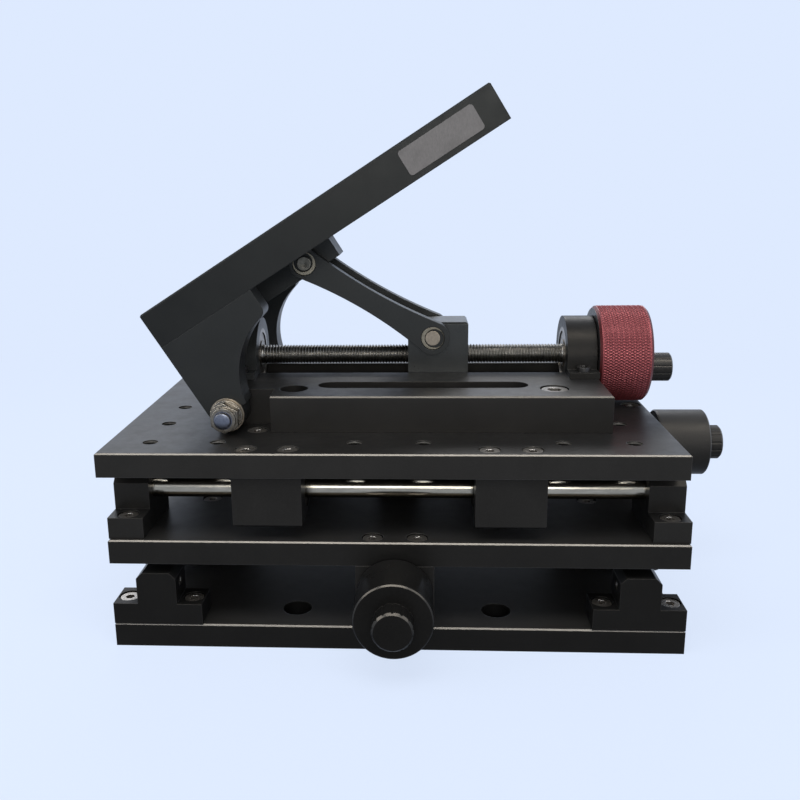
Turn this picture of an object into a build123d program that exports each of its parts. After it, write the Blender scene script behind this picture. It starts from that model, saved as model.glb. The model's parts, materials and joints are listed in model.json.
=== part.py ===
from build123d import *
import math
import os

os.makedirs("parts", exist_ok=True)

# Three-axis stage: two crossed slides on round shafts, with a screw-driven tilting table on top.
# Frame: origin under the middle of the bottom plate, +X to the right, +Y to the back, +Z up.
# All sizes are in millimetres.

# Plates
PLATE_LENGTH = 207.5
PLATE_DEPTH = 152.5
PLATE_THICKNESS = 9.0
PLATE_GAP = 23.9
PLATE_CHAMFER = 0.5
X_REST = -2.2

# Breadboard holes of the top plate and fixing holes of the bottom plate
GRID = 25.0
GRID_COLUMNS = 8
GRID_ROWS = 6
TAPPED_BORE = 5.6
FOOT_SPACING_X = 75.0
FOOT_SPACING_Y = 125.0
FOOT_HOLE = 6.6

# Socket-head screws: small ones hold the slides, large ones hold the tilt base
SMALL_SHANK = 4.0
SMALL_HEAD = 7.0
SMALL_HEAD_HEIGHT = 4.0
SMALL_SOCKET = 3.0
SMALL_SOCKET_DEPTH = 2.0
SMALL_COUNTERBORE = 7.9
LARGE_SHANK = 6.0
LARGE_HEAD = 9.8
LARGE_HEAD_HEIGHT = 6.0
LARGE_SOCKET = 5.0
LARGE_SOCKET_DEPTH = 3.0
LARGE_COUNTERBORE = 11.0
COUNTERBORE_SPARE = 0.4
THREAD_DEPTH = 7.0
THREAD_CLEARANCE = 0.1
HOLE_SPARE = 1.0
HOLE_WALL = 1.5
SET_SCREW = 4.0
SET_SCREW_SOCKET = 2.0
SET_SCREW_SINK = 0.3

# Round shafts and their end supports
SHAFT_DIAMETER = 8.0
SHAFT_RISE = 14.5
SHAFT_WALL = 3.0
SUPPORT_THICKNESS = 13.0
SUPPORT_FLANGE = 33.0
SUPPORT_EDGE_INSET = 1.5
SUPPORT_FLANGE_HEIGHT = 8.0
SUPPORT_BODY = 14.6
SUPPORT_HEADROOM = 3.8
SUPPORT_BEVEL = 2.2
SUPPORT_SCREW_SPACING = 24.4

# Bearing blocks and their linear bearings
BLOCK_LENGTH = 25.0
BLOCK_WIDTH = 33.0
BLOCK_HEIGHT = 19.0
BLOCK_CHAMFER = 0.8
BLOCK_SCREWS_ALONG = 15.0
BLOCK_SCREWS_ACROSS = 24.0
X_BLOCK_OFFSET = 43.2
Y_BLOCK_OFFSET = 25.0
BEARING_DIAMETER = 15.0
BEARING_LENGTH = 24.0
RUNNING_CLEARANCE = 0.05

# Slide lead screws, nut blocks, brackets and knobs
LEAD_DIAMETER = 8.0
LEAD_REACH = 42.0
BORE_CLEARANCE = 1.0
NUT_LENGTH = 18.0
NUT_WIDTH = 26.0
NUT_HEIGHT = 22.0
NUT_SCREW_SPACING = 18.0
BRACKET_WIDTH = 28.3
BRACKET_THICKNESS = 10.3
BRACKET_HEIGHT = 22.8
BRACKET_SCREW_SPACING = 16.1
BRACKET_BEARING_DIAMETER = 12.0
BRACKET_BEARING_LENGTH = 5.0
BRACKET_THREAD = 6.0
BLOCK_THREAD = 7.0
KNOB_DIAMETER = 27.5
KNOB_LENGTH = 20.3
Y_KNOB_STANDOFF = 3.3
X_KNOB_STANDOFF = 7.0
KNOB_CHAMFER = 0.5
KNOB_HUB = 12.0
GRIP_DIAMETER = 14.2
GRIP_LENGTH = 7.0
GRIP_FLUTES = 14
GRIP_FLUTE = 1.5

# Tilt base
BASE_LENGTH = 150.0
BASE_DEPTH = 100.0
BASE_HEIGHT = 14.1
BASE_OFFSET = 7.5
BASE_CHAMFER = 0.6
CHANNEL_WIDTH = 18.9
CHANNEL_FLOOR = 5.0
SLOT_LENGTH = 82.0
SLOT_WIDTH = 10.5
SLOT_OFFSET_Y = 31.3
SLOT_CENTRE = 4.8
BASE_SCREW_LEFT = 45.0
BASE_SCREW_RIGHT = 55.0
BASE_SCREW_Y = 37.5
NOTCH_LENGTH = 22.6
NOTCH_DEPTH = 12.0

# Tilt lead screw, its two housings and ball bearings
TILT_AXIS_RISE = 20.3
TILT_SCREW_DIAMETER = 8.0
HOUSING_THICKNESS = 11.8
HOUSING_RADIUS = 15.7
HOUSING_FOOT_WIDTH = 44.4
HOUSING_FOOT_HEIGHT = 2.6
HOUSING_SCREW_Y = 18.8
HOUSING_SCREW_HEAD = 5.5
HOUSING_SCREW_HEAD_HEIGHT = 1.8
HOUSING_SCREW_SOCKET_DEPTH = 1.3
BALL_BEARING_DIAMETER = 22.0
BALL_BEARING_WIDTH = 7.0
BALL_BEARING_LIP = 0.4
HOUSING_BORE_CLEARANCE = 2.0
TILT_SCREW_RECESS = 1.5

# Tilt knob and its spinning crank handle
TILT_KNOB_DIAMETER = 39.7
TILT_KNOB_LENGTH = 21.2
TILT_KNOB_STANDOFF = 0.4
TILT_KNOB_CHAMFER = 1.0
TILT_HUB_DIAMETER = 16.0
CRANK_DIAMETER = 11.6
CRANK_LENGTH = 8.8
CRANK_DOWN = 4.0
CRANK_FORWARD = 9.0
CRANK_PIN_DIAMETER = 4.0
CRANK_PIN_DEPTH = 8.0
CRANK_PIN_HEAD = 7.0
CRANK_PIN_HEAD_HEIGHT = 2.0
CRANK_PIN_SINK = 0.5
CRANK_FLUTES = 12
CRANK_FLUTE = 1.2
CRANK_CLEARANCE = 0.3

# Hinge of the table
HINGE_INSET = 6.4
HINGE_RISE = 7.1
HINGE_STUD = 6.0
HINGE_STUD_GRIP = 12.0
HINGE_STUD_END = 1.6
BUSH_DIAMETER = 8.0
BUSH_FLANGE = 13.0
BUSH_FLANGE_THICKNESS = 1.0
WASHER_DIAMETER = 12.0
WASHER_THICKNESS = 1.4
NUT_FLATS = 10.0
NUT_DEPTH = 6.0
NUT_COLLAR = 9.1
NUT_COLLAR_LENGTH = 2.0

# Tilting table, measured along the table (from the hinge) and square to it
TILT_REST = 32.0
TABLE_THICKNESS = 14.2
TABLE_UNDERSIDE = 34.2
TABLE_CHAMFER = 0.5
TABLE_HOLE_DEPTH = 7.5
TABLE_COLUMNS = 6
TABLE_ROWS = 4
CHEEK_THICKNESS = 11.5
CHEEK_BOSS_RADIUS = 6.5
CHEEK_BAND = 9.8
CHEEK_ARC_RADIUS = 30.0
CHEEK_ARC_CENTRE = 38.0
CHEEK_LENGTH = 34.0
CHEEK_CORNER = 3.0
CHEEK_SCREW_SPACING = 20.0
BAR_WIDTH = 18.0
BAR_START = 27.0
BAR_END = 63.4
BAR_DROP = 8.2
BAR_SCREW_NEAR = 34.0
BAR_SCREW_INSET = 5.5
POCKET_DEPTH = 5.5
POCKET_BEHIND = 9.5
POCKET_AHEAD = 34.0
POCKET_WIDTH = 30.0

# Slide block, links and link pins
SLIDER_LENGTH = 24.7
SLIDER_WIDTH = 18.0
SLIDER_TOP = 35.0
SLIDER_FLOOR_CLEARANCE = 0.4
SLIDER_CHAMFER = 0.8
SLIDER_PIN_BACK = 10.1
SLIDER_PIN_RISE = 22.2
LINK_THICKNESS = 5.0
LINK_SIDE_CLEARANCE = 0.2
LINK_LENGTH = 60.0
LINK_PIN_ALONG = 50.0
LINK_PIN_NORMAL = 31.0
LINK_PIN_DIAMETER = 6.0
LINK_COUNTERBORE = 9.6
LINK_COUNTERBORE_DEPTH = 1.2
LINK_TABLE_END_RADIUS = 6.2
LINK_SLIDER_END_RADIUS = 6.8
LINK_WAIST_ABOVE = 4.4
LINK_WAIST_BELOW = 3.9

# Levels and places worked out from the sizes above
BOTTOM_TOP = PLATE_THICKNESS
MIDDLE_FLOOR = BOTTOM_TOP + PLATE_GAP
MIDDLE_TOP = MIDDLE_FLOOR + PLATE_THICKNESS
TOP_FLOOR = MIDDLE_TOP + PLATE_GAP
TOP_TOP = TOP_FLOOR + PLATE_THICKNESS
Y_SHAFT_OFFSET = PLATE_LENGTH / 2 - SUPPORT_FLANGE / 2
X_SHAFT_OFFSET = PLATE_DEPTH / 2 - SUPPORT_EDGE_INSET - SUPPORT_FLANGE / 2
Y_AXIS_Z = BOTTOM_TOP + SHAFT_RISE
X_AXIS_Z = MIDDLE_TOP + SHAFT_RISE
BASE_CENTRE = X_REST + BASE_OFFSET
BASE_LEFT = BASE_CENTRE - BASE_LENGTH / 2
BASE_RIGHT = BASE_CENTRE + BASE_LENGTH / 2
BASE_TOP = TOP_TOP + BASE_HEIGHT
TILT_AXIS_Z = TOP_TOP + TILT_AXIS_RISE
HINGE_X = BASE_LEFT + HINGE_INSET
HINGE_Z = TOP_TOP + HINGE_RISE
TABLE_TOP = TABLE_UNDERSIDE + TABLE_THICKNESS
LINK_INNER = SLIDER_WIDTH / 2 + LINK_SIDE_CLEARANCE
LINK_OUTER = LINK_INNER + LINK_THICKNESS
TILT = math.radians(TILT_REST)
PIN_UP_X = HINGE_X + LINK_PIN_ALONG * math.cos(TILT) - LINK_PIN_NORMAL * math.sin(TILT)
PIN_UP_Z = HINGE_Z + LINK_PIN_ALONG * math.sin(TILT) + LINK_PIN_NORMAL * math.cos(TILT)
PIN_LOW_Z = HINGE_Z + SLIDER_PIN_RISE
LINK_DROP = math.asin((PIN_UP_Z - PIN_LOW_Z) / LINK_LENGTH)
PIN_LOW_X = PIN_UP_X + LINK_LENGTH * math.cos(LINK_DROP)
BRACKET_REACH = BRACKET_THICKNESS / 2
SIDES = (("front", -1), ("rear", 1))
ENDS = (("left", -1), ("right", 1))


def block(x0, x1, y0, y1, z0, z1):
    """A box between two corners."""
    return Pos((x0 + x1) / 2, (y0 + y1) / 2, (z0 + z1) / 2) * Box(x1 - x0, y1 - y0, z1 - z0)


def rod(diameter, start, length, axis):
    """A round rod from start along +X, -X, +Y, -Y, +Z or -Z."""
    sign = -1 if axis[0] == "-" else 1
    direction = {"X": (1, 0, 0), "Y": (0, 1, 0), "Z": (0, 0, 1)}[axis[1]]
    plane = Plane(origin=start, z_dir=tuple(sign * value for value in direction))
    return extrude(plane * Circle(diameter / 2), length)


def tube(outer, inner, start, length, axis):
    """A round tube along one of the axes."""
    return rod(outer, start, length, axis) - rod(inner, start, length, axis)


def socket_screw(x, y, z, length, shank, head, head_height, socket, socket_depth):
    """A socket-head screw that points down, with its seat at z."""
    body = rod(head, (x, y, z), head_height, "+Z") + rod(shank, (x, y, z), length, "-Z")
    hexagon = RegularPolygon(radius=socket / math.sqrt(3), side_count=6)
    recess = extrude(Plane.XY.offset(z + head_height) * Pos(x, y) * hexagon, -socket_depth)
    return body - recess


def small_screw(x, y, z, length):
    """The screw that holds the slides together."""
    return socket_screw(x, y, z, length, SMALL_SHANK, SMALL_HEAD, SMALL_HEAD_HEIGHT,
                        SMALL_SOCKET, SMALL_SOCKET_DEPTH)


def small_screw_up(x, y, z, length):
    """The same screw turned over, with its head below z."""
    return Pos(x, y, z) * Rot(180, 0, 0) * small_screw(0, 0, 0, length)


def small_seat():
    """How deep a small screw's seat lies below the surface of a plate."""
    return SMALL_HEAD_HEIGHT + COUNTERBORE_SPARE


def counterbored(x, y, top, bottom, bore, counterbore, depth):
    """The cut for a counterbored hole from top down to bottom."""
    return (rod(bore, (x, y, top), top - bottom, "-Z")
            + rod(counterbore, (x, y, top), depth, "-Z"))


def four_corners(x, y, dx, dy):
    """The corners of a rectangle about a point."""
    return [(x + sx * dx / 2, y + sy * dy / 2) for sx in (-1, 1) for sy in (-1, 1)]


def plate(x, z):
    """One rectangular plate with a small chamfer on its long edges."""
    body = Pos(x, 0, z + PLATE_THICKNESS / 2) * Box(PLATE_LENGTH, PLATE_DEPTH, PLATE_THICKNESS)
    return chamfer(body.faces().sort_by(Axis.Z)[-1].edges(), PLATE_CHAMFER)


def y_block_places():
    """Name and place of the four blocks on the lower shafts."""
    return [(f"lower_block_{side}_{end}", ex * Y_SHAFT_OFFSET, sy * Y_BLOCK_OFFSET)
            for side, sy in SIDES for end, ex in ENDS]


def x_block_places():
    """Name and place of the four blocks on the upper shafts."""
    return [(f"upper_block_{side}_{end}", X_REST + ex * X_BLOCK_OFFSET, sy * X_SHAFT_OFFSET)
            for side, sy in SIDES for end, ex in ENDS]


def y_block_screws():
    """Screw places of the lower blocks."""
    places = [four_corners(x, y, BLOCK_SCREWS_ACROSS, BLOCK_SCREWS_ALONG)
              for _, x, y in y_block_places()]
    return [spot for four in places for spot in four]


def x_block_screws():
    """Screw places of the upper blocks."""
    places = [four_corners(x, y, BLOCK_SCREWS_ALONG, BLOCK_SCREWS_ACROSS)
              for _, x, y in x_block_places()]
    return [spot for four in places for spot in four]


def y_support_places():
    """Name, X, middle Y and screw places of the supports on the bottom plate."""
    y = PLATE_DEPTH / 2 - SUPPORT_THICKNESS / 2
    half = SUPPORT_SCREW_SPACING / 2
    return [(f"lower_support_{side}_{end}", ex * Y_SHAFT_OFFSET, sy * y,
             [(ex * Y_SHAFT_OFFSET - half, sy * y), (ex * Y_SHAFT_OFFSET + half, sy * y)])
            for side, sy in SIDES for end, ex in ENDS]


def x_support_places():
    """Name, middle X, Y and screw places of the supports on the middle plate."""
    x = PLATE_LENGTH / 2 - SUPPORT_THICKNESS / 2
    half = SUPPORT_SCREW_SPACING / 2
    return [(f"upper_support_{side}_{end}", ex * x, sy * X_SHAFT_OFFSET,
             [(ex * x, sy * X_SHAFT_OFFSET - half), (ex * x, sy * X_SHAFT_OFFSET + half)])
            for side, sy in SIDES for end, ex in ENDS]


def y_bracket_screws():
    """Screw places of the bracket under the middle plate's front edge."""
    y = -PLATE_DEPTH / 2 + BRACKET_REACH
    return [(-BRACKET_SCREW_SPACING / 2, y), (BRACKET_SCREW_SPACING / 2, y)]


def x_bracket_screws():
    """Screw places of the bracket under the top plate's right edge."""
    x = X_REST + PLATE_LENGTH / 2 - BRACKET_REACH
    return [(x, -BRACKET_SCREW_SPACING / 2), (x, BRACKET_SCREW_SPACING / 2)]


def nut_screws(along_x):
    """Screw places of a nut block, beside its lead screw."""
    half = NUT_SCREW_SPACING / 2
    return [(0, -half), (0, half)] if along_x else [(-half, 0), (half, 0)]


def bottom_plate():
    """Bottom plate with its fixing holes and the seats of the nut screws."""
    body = plate(0, 0)
    for x, y in four_corners(0, 0, FOOT_SPACING_X, FOOT_SPACING_Y):
        body -= counterbored(x, y, BOTTOM_TOP, 0, FOOT_HOLE,
                             LARGE_COUNTERBORE, LARGE_HEAD_HEIGHT + COUNTERBORE_SPARE)
    for _, _, _, screws in y_support_places():
        for x, y in screws:
            body -= rod(SMALL_SHANK + THREAD_CLEARANCE, (x, y, BOTTOM_TOP), THREAD_DEPTH, "-Z")
    for x, y in nut_screws(False):
        body -= rod(SMALL_SHANK + THREAD_CLEARANCE, (x, y, 0), PLATE_THICKNESS, "+Z")
        body -= rod(SMALL_COUNTERBORE, (x, y, 0), small_seat(), "+Z")
    return body


def middle_plate():
    """Middle plate: it carries the upper shafts and rides on the lower ones."""
    body = plate(0, MIDDLE_FLOOR)
    bore = SMALL_SHANK + THREAD_CLEARANCE
    for x, y in y_block_screws() + y_bracket_screws():
        body -= counterbored(x, y, MIDDLE_TOP, MIDDLE_FLOOR, bore, SMALL_COUNTERBORE, small_seat())
    for _, _, _, screws in x_support_places():
        for x, y in screws:
            body -= rod(bore, (x, y, MIDDLE_TOP), THREAD_DEPTH, "-Z")
    for x, y in nut_screws(True):
        body -= rod(bore, (x, y, MIDDLE_FLOOR), PLATE_THICKNESS, "+Z")
        body -= rod(SMALL_COUNTERBORE, (x, y, MIDDLE_FLOOR), small_seat(), "+Z")
    return body


def grid_holes():
    """Breadboard hole places; the block screws take four of them in the outer rows."""
    places = []
    reach = SMALL_COUNTERBORE / 2 + TAPPED_BORE / 2 + HOLE_WALL
    for column in range(GRID_COLUMNS):
        for row in range(GRID_ROWS):
            x = (column - (GRID_COLUMNS - 1) / 2) * GRID
            y = (row - (GRID_ROWS - 1) / 2) * GRID
            near = [1 for sx, sy in x_block_screws()
                    if math.hypot(sx - X_REST - x, sy - y) < reach]
            if not near:
                places.append((X_REST + x, y))
    return places


def top_plate():
    """Top plate: a breadboard with the seats of the block and bracket screws."""
    body = plate(X_REST, TOP_FLOOR)
    bore = SMALL_SHANK + THREAD_CLEARANCE
    for x, y in grid_holes():
        body -= rod(TAPPED_BORE, (x, y, TOP_TOP), PLATE_THICKNESS, "-Z")
    for x, y in x_block_screws() + x_bracket_screws():
        body -= counterbored(x, y, TOP_TOP, TOP_FLOOR, bore, SMALL_COUNTERBORE, small_seat())
    return body


def shaft_support(z, inner):
    """A T-shaped support on z for a shaft that enters it from +Y, its set screw on the inner side."""
    height = PLATE_GAP - SUPPORT_HEADROOM
    half = SUPPORT_BODY / 2
    flange = SUPPORT_FLANGE / 2
    outline = Polyline((-flange, 0), (flange, 0), (flange, SUPPORT_FLANGE_HEIGHT),
                       (half, SUPPORT_FLANGE_HEIGHT), (half, height), (-half, height),
                       (-half, SUPPORT_FLANGE_HEIGHT), (-flange, SUPPORT_FLANGE_HEIGHT), close=True)
    body = extrude(Plane.XZ * make_face(outline), SUPPORT_THICKNESS / 2, both=True)
    body = chamfer(body.edges().filter_by(Axis.Y).group_by(Axis.Z)[-1], SUPPORT_BEVEL)
    start = SHAFT_WALL - SUPPORT_THICKNESS / 2
    body -= rod(SHAFT_DIAMETER, (0, start, SHAFT_RISE), SUPPORT_THICKNESS, "+Y")
    body -= rod(SET_SCREW + THREAD_CLEARANCE, (0, 0, SHAFT_RISE), SUPPORT_BODY, "+X" if inner > 0 else "-X")
    for side in (-1, 1):
        x = side * SUPPORT_SCREW_SPACING / 2
        body -= counterbored(x, 0, SUPPORT_FLANGE_HEIGHT, 0, SMALL_SHANK + THREAD_CLEARANCE,
                             SMALL_COUNTERBORE, small_seat())
    return Pos(0, 0, z) * body


def bearing_block(x, y, ceiling, along_x):
    """A bearing block hung under a plate, with its bore at the shaft."""
    drop = PLATE_GAP - SHAFT_RISE
    turn = 90 if along_x else 0
    body = Box(BLOCK_WIDTH, BLOCK_LENGTH, BLOCK_HEIGHT)
    body = chamfer(body.faces().sort_by(Axis.Z)[0].edges(), BLOCK_CHAMFER)
    body = Pos(0, 0, -BLOCK_HEIGHT / 2) * body
    body -= rod(BEARING_DIAMETER, (0, -BLOCK_LENGTH, -drop), 2 * BLOCK_LENGTH, "+Y")
    for sx, sy in four_corners(0, 0, BLOCK_SCREWS_ACROSS, BLOCK_SCREWS_ALONG):
        body -= rod(SMALL_SHANK + THREAD_CLEARANCE, (sx, sy, 0), BLOCK_THREAD + HOLE_SPARE, "-Z")
    return Pos(x, y, ceiling) * Rot(0, 0, turn) * body


def linear_bearing(x, y, z, along_x):
    """A linear ball bearing with its two retaining grooves."""
    inner = SHAFT_DIAMETER + 2 * RUNNING_CLEARANCE
    body = tube(BEARING_DIAMETER, inner, (0, -BEARING_LENGTH / 2, 0), BEARING_LENGTH, "+Y")
    return Pos(x, y, z) * Rot(0, 0, 90 if along_x else 0) * body


def shaft(x, y, z, along_x):
    """A ground shaft that ends in the blind bores of its supports."""
    length = (PLATE_LENGTH if along_x else PLATE_DEPTH) - 2 * SHAFT_WALL
    start = (x - length / 2, y, z) if along_x else (x, y - length / 2, z)
    return rod(SHAFT_DIAMETER, start, length, "+X" if along_x else "+Y")


def nut_block(z, along_x):
    """The block on a plate that holds the nut thread of a slide's lead screw."""
    body = block(-NUT_WIDTH / 2, NUT_WIDTH / 2, -NUT_LENGTH / 2, NUT_LENGTH / 2, 0, NUT_HEIGHT)
    body = chamfer(body.faces().sort_by(Axis.Z)[-1].edges(), BLOCK_CHAMFER)
    body -= rod(LEAD_DIAMETER + 2 * RUNNING_CLEARANCE, (0, -NUT_LENGTH, SHAFT_RISE),
                2 * NUT_LENGTH, "+Y")
    for x, y in nut_screws(False):
        body -= rod(SMALL_SHANK + THREAD_CLEARANCE, (x, y, 0), THREAD_DEPTH + HOLE_SPARE, "+Z")
    return Pos(0, 0, z) * Rot(0, 0, 90 if along_x else 0) * body


def knob_bracket():
    """The bearing bracket of a lead screw along Y; its front face is at Y = 0, its top at Z = 0."""
    drop = PLATE_GAP - SHAFT_RISE
    body = block(-BRACKET_WIDTH / 2, BRACKET_WIDTH / 2, 0, BRACKET_THICKNESS, -BRACKET_HEIGHT, 0)
    body = chamfer(body.edges().filter_by(Axis.Y).sort_by(Axis.Z)[:2], BLOCK_CHAMFER)
    body -= rod(LEAD_DIAMETER + 2 * BORE_CLEARANCE, (0, 0, -drop), BRACKET_THICKNESS, "+Y")
    body -= rod(BRACKET_BEARING_DIAMETER, (0, 0, -drop), BRACKET_BEARING_LENGTH, "+Y")
    for side in (-1, 1):
        x = side * BRACKET_SCREW_SPACING / 2
        body -= rod(SMALL_SHANK + THREAD_CLEARANCE, (x, BRACKET_REACH, 0), BRACKET_THREAD + HOLE_SPARE, "-Z")
    return body


def bracket_bearing():
    """The flanged bearing in the bracket's front face."""
    drop = PLATE_GAP - SHAFT_RISE
    return tube(BRACKET_BEARING_DIAMETER, LEAD_DIAMETER + 2 * RUNNING_CLEARANCE, (0, 0, -drop),
                BRACKET_BEARING_LENGTH, "+Y")


def fluted_grip(diameter, length, flutes, flute):
    """A short grip along -Y from Y = 0, with round flutes cut in its rim."""
    body = rod(diameter, (0, 0, 0), length, "-Y")
    body = chamfer(body.edges().filter_by(GeomType.CIRCLE).sort_by(Axis.Y)[0], flute / 2)
    for index in range(flutes):
        angle = 2 * math.pi * (index + 0.5) / flutes
        reach = diameter / 2 + flute / 3
        start = (reach * math.cos(angle), 0, reach * math.sin(angle))
        body -= rod(flute, start, length, "-Y")
    return body


def slide_knob(standoff):
    """A knob on a lead screw along Y: hub, smooth drum and fluted grip, from Y = 0 forward."""
    drum = rod(KNOB_DIAMETER, (0, -standoff, 0), KNOB_LENGTH, "-Y")
    drum = chamfer(drum.edges().filter_by(GeomType.CIRCLE), KNOB_CHAMFER)
    hub = rod(KNOB_HUB, (0, 0, 0), standoff, "-Y")
    grip = Pos(0, -standoff - KNOB_LENGTH, 0) * fluted_grip(
        GRIP_DIAMETER, GRIP_LENGTH, GRIP_FLUTES, GRIP_FLUTE)
    bore = rod(LEAD_DIAMETER, (0, 0, 0), standoff + KNOB_LENGTH / 2, "-Y")
    return drum + hub + grip - bore


def slide_lead_screw(standoff, plate_half):
    """A lead screw along Y: it reaches from inside the knob past the nut at full travel."""
    start = standoff + KNOB_LENGTH / 2
    return rod(LEAD_DIAMETER, (0, -start, 0), start + plate_half + LEAD_REACH, "+Y")


def at_y_screw(shape):
    """Move a piece made about a screw's own front face to the lower lead screw."""
    return Pos(0, -PLATE_DEPTH / 2, Y_AXIS_Z) * shape


def at_x_screw(shape):
    """Turn a piece to the upper lead screw, whose knob is on the right."""
    return Pos(X_REST + PLATE_LENGTH / 2, 0, X_AXIS_Z) * Rot(0, 0, 90) * shape


def at_y_bracket(shape):
    """Move a bracket piece under the front edge of the middle plate."""
    return Pos(0, -PLATE_DEPTH / 2, MIDDLE_FLOOR) * shape


def at_x_bracket(shape):
    """Turn a bracket piece under the right edge of the top plate."""
    return Pos(X_REST + PLATE_LENGTH / 2, 0, TOP_FLOOR) * Rot(0, 0, 90) * shape


def set_screw(x, y, z, turn):
    """A set screw, turned from +Z, that presses on the shaft whose axis passes the point."""
    tip = SHAFT_DIAMETER / 2
    end = SUPPORT_BODY / 2 - SET_SCREW_SINK
    body = rod(SET_SCREW, (0, 0, tip), end - tip, "+Z")
    hexagon = RegularPolygon(radius=SET_SCREW_SOCKET / math.sqrt(3), side_count=6)
    body -= extrude(Plane.XY.offset(end) * hexagon, -SET_SCREW_SOCKET)
    return Pos(x, y, z) * Rot(*turn) * body


def base_screws():
    """Screws of the lower supports and shafts, and of the lower nut block from below."""
    screws = [set_screw(x, y, Y_AXIS_Z, (0, -90 if x > 0 else 90, 0)) for _, x, y, _ in y_support_places()]
    for _, _, _, places in y_support_places():
        for x, y in places:
            seat = BOTTOM_TOP + SUPPORT_FLANGE_HEIGHT - small_seat()
            screws.append(small_screw(x, y, seat, seat - BOTTOM_TOP + THREAD_DEPTH))
    for x, y in nut_screws(False):
        length = PLATE_THICKNESS - small_seat() + THREAD_DEPTH
        screws.append(small_screw_up(x, y, small_seat(), length))
    return Compound(screws)


def middle_screws():
    """Screws of the lower blocks, the front bracket, the upper supports, shafts and nut."""
    seat = MIDDLE_TOP - small_seat()
    screws = [small_screw(x, y, seat, seat - MIDDLE_FLOOR + BLOCK_THREAD) for x, y in y_block_screws()]
    screws += [small_screw(x, y, seat, seat - MIDDLE_FLOOR + BRACKET_THREAD)
               for x, y in y_bracket_screws()]
    screws += [set_screw(x, y, X_AXIS_Z, (90 if y > 0 else -90, 0, 0)) for _, x, y, _ in x_support_places()]
    for _, _, _, places in x_support_places():
        for x, y in places:
            flange = MIDDLE_TOP + SUPPORT_FLANGE_HEIGHT - small_seat()
            screws.append(small_screw(x, y, flange, flange - MIDDLE_TOP + THREAD_DEPTH))
    for x, y in nut_screws(True):
        length = PLATE_THICKNESS - small_seat() + THREAD_DEPTH
        screws.append(small_screw_up(x, y, MIDDLE_FLOOR + small_seat(), length))
    return Compound(screws)


def top_screws():
    """Screws of the upper blocks and of the bracket under the right edge."""
    seat = TOP_TOP - small_seat()
    screws = [small_screw(x, y, seat, seat - TOP_FLOOR + BLOCK_THREAD) for x, y in x_block_screws()]
    screws += [small_screw(x, y, seat, seat - TOP_FLOOR + BRACKET_THREAD)
               for x, y in x_bracket_screws()]
    return Compound(screws)


def base_screw_places():
    """Counterbored holes of the tilt base."""
    return [(BASE_CENTRE + dx, dy) for dx in (-BASE_SCREW_LEFT, BASE_SCREW_RIGHT)
            for dy in (-BASE_SCREW_Y, BASE_SCREW_Y)]


def tilt_base():
    """The base of the tilting table: channel, two slots, screw holes and corner notches."""
    half = BASE_DEPTH / 2
    body = block(BASE_LEFT, BASE_RIGHT, -half, half, TOP_TOP, BASE_TOP)
    body = chamfer(body.faces().sort_by(Axis.Z)[-1].edges(), BASE_CHAMFER)
    body -= block(BASE_LEFT, BASE_RIGHT, -CHANNEL_WIDTH / 2, CHANNEL_WIDTH / 2,
                  TOP_TOP + CHANNEL_FLOOR, BASE_TOP)
    slot = SlotOverall(SLOT_LENGTH, SLOT_WIDTH)
    for _, side in SIDES:
        y = side * SLOT_OFFSET_Y
        body -= extrude(Plane.XY.offset(TOP_TOP) * Pos(BASE_CENTRE + SLOT_CENTRE, y) * slot,
                        BASE_HEIGHT)
        body -= block(BASE_LEFT, BASE_LEFT + NOTCH_LENGTH, min(side * half, side * (half - NOTCH_DEPTH)),
                      max(side * half, side * (half - NOTCH_DEPTH)), TOP_TOP, BASE_TOP)
        stud_start = (HINGE_X, side * (half - NOTCH_DEPTH - HINGE_STUD_GRIP), HINGE_Z)
        body -= rod(HINGE_STUD, stud_start, HINGE_STUD_GRIP, "+Y" if side > 0 else "-Y")
        for x in (BASE_LEFT + HOUSING_THICKNESS / 2, BASE_RIGHT - HOUSING_THICKNESS / 2):
            body -= rod(SMALL_SHANK + THREAD_CLEARANCE, (x, side * HOUSING_SCREW_Y, BASE_TOP),
                        THREAD_DEPTH + HOLE_SPARE, "-Z")
    for x, y in base_screw_places():
        body -= counterbored(x, y, BASE_TOP, TOP_TOP, LARGE_SHANK + THREAD_CLEARANCE,
                             LARGE_COUNTERBORE, LARGE_HEAD_HEIGHT + COUNTERBORE_SPARE)
    return body


def tilt_base_screws():
    """Large screws in three of the base's holes; the front left one is open, for a set-up screw."""
    seat = BASE_TOP - LARGE_HEAD_HEIGHT - COUNTERBORE_SPARE
    length = seat - TOP_TOP
    return Compound([socket_screw(x, y, seat, length, TAPPED_BORE - THREAD_CLEARANCE, LARGE_HEAD,
                                  LARGE_HEAD_HEIGHT, LARGE_SOCKET, LARGE_SOCKET_DEPTH)
                     for x, y in base_screw_places()[1:]])


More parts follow.
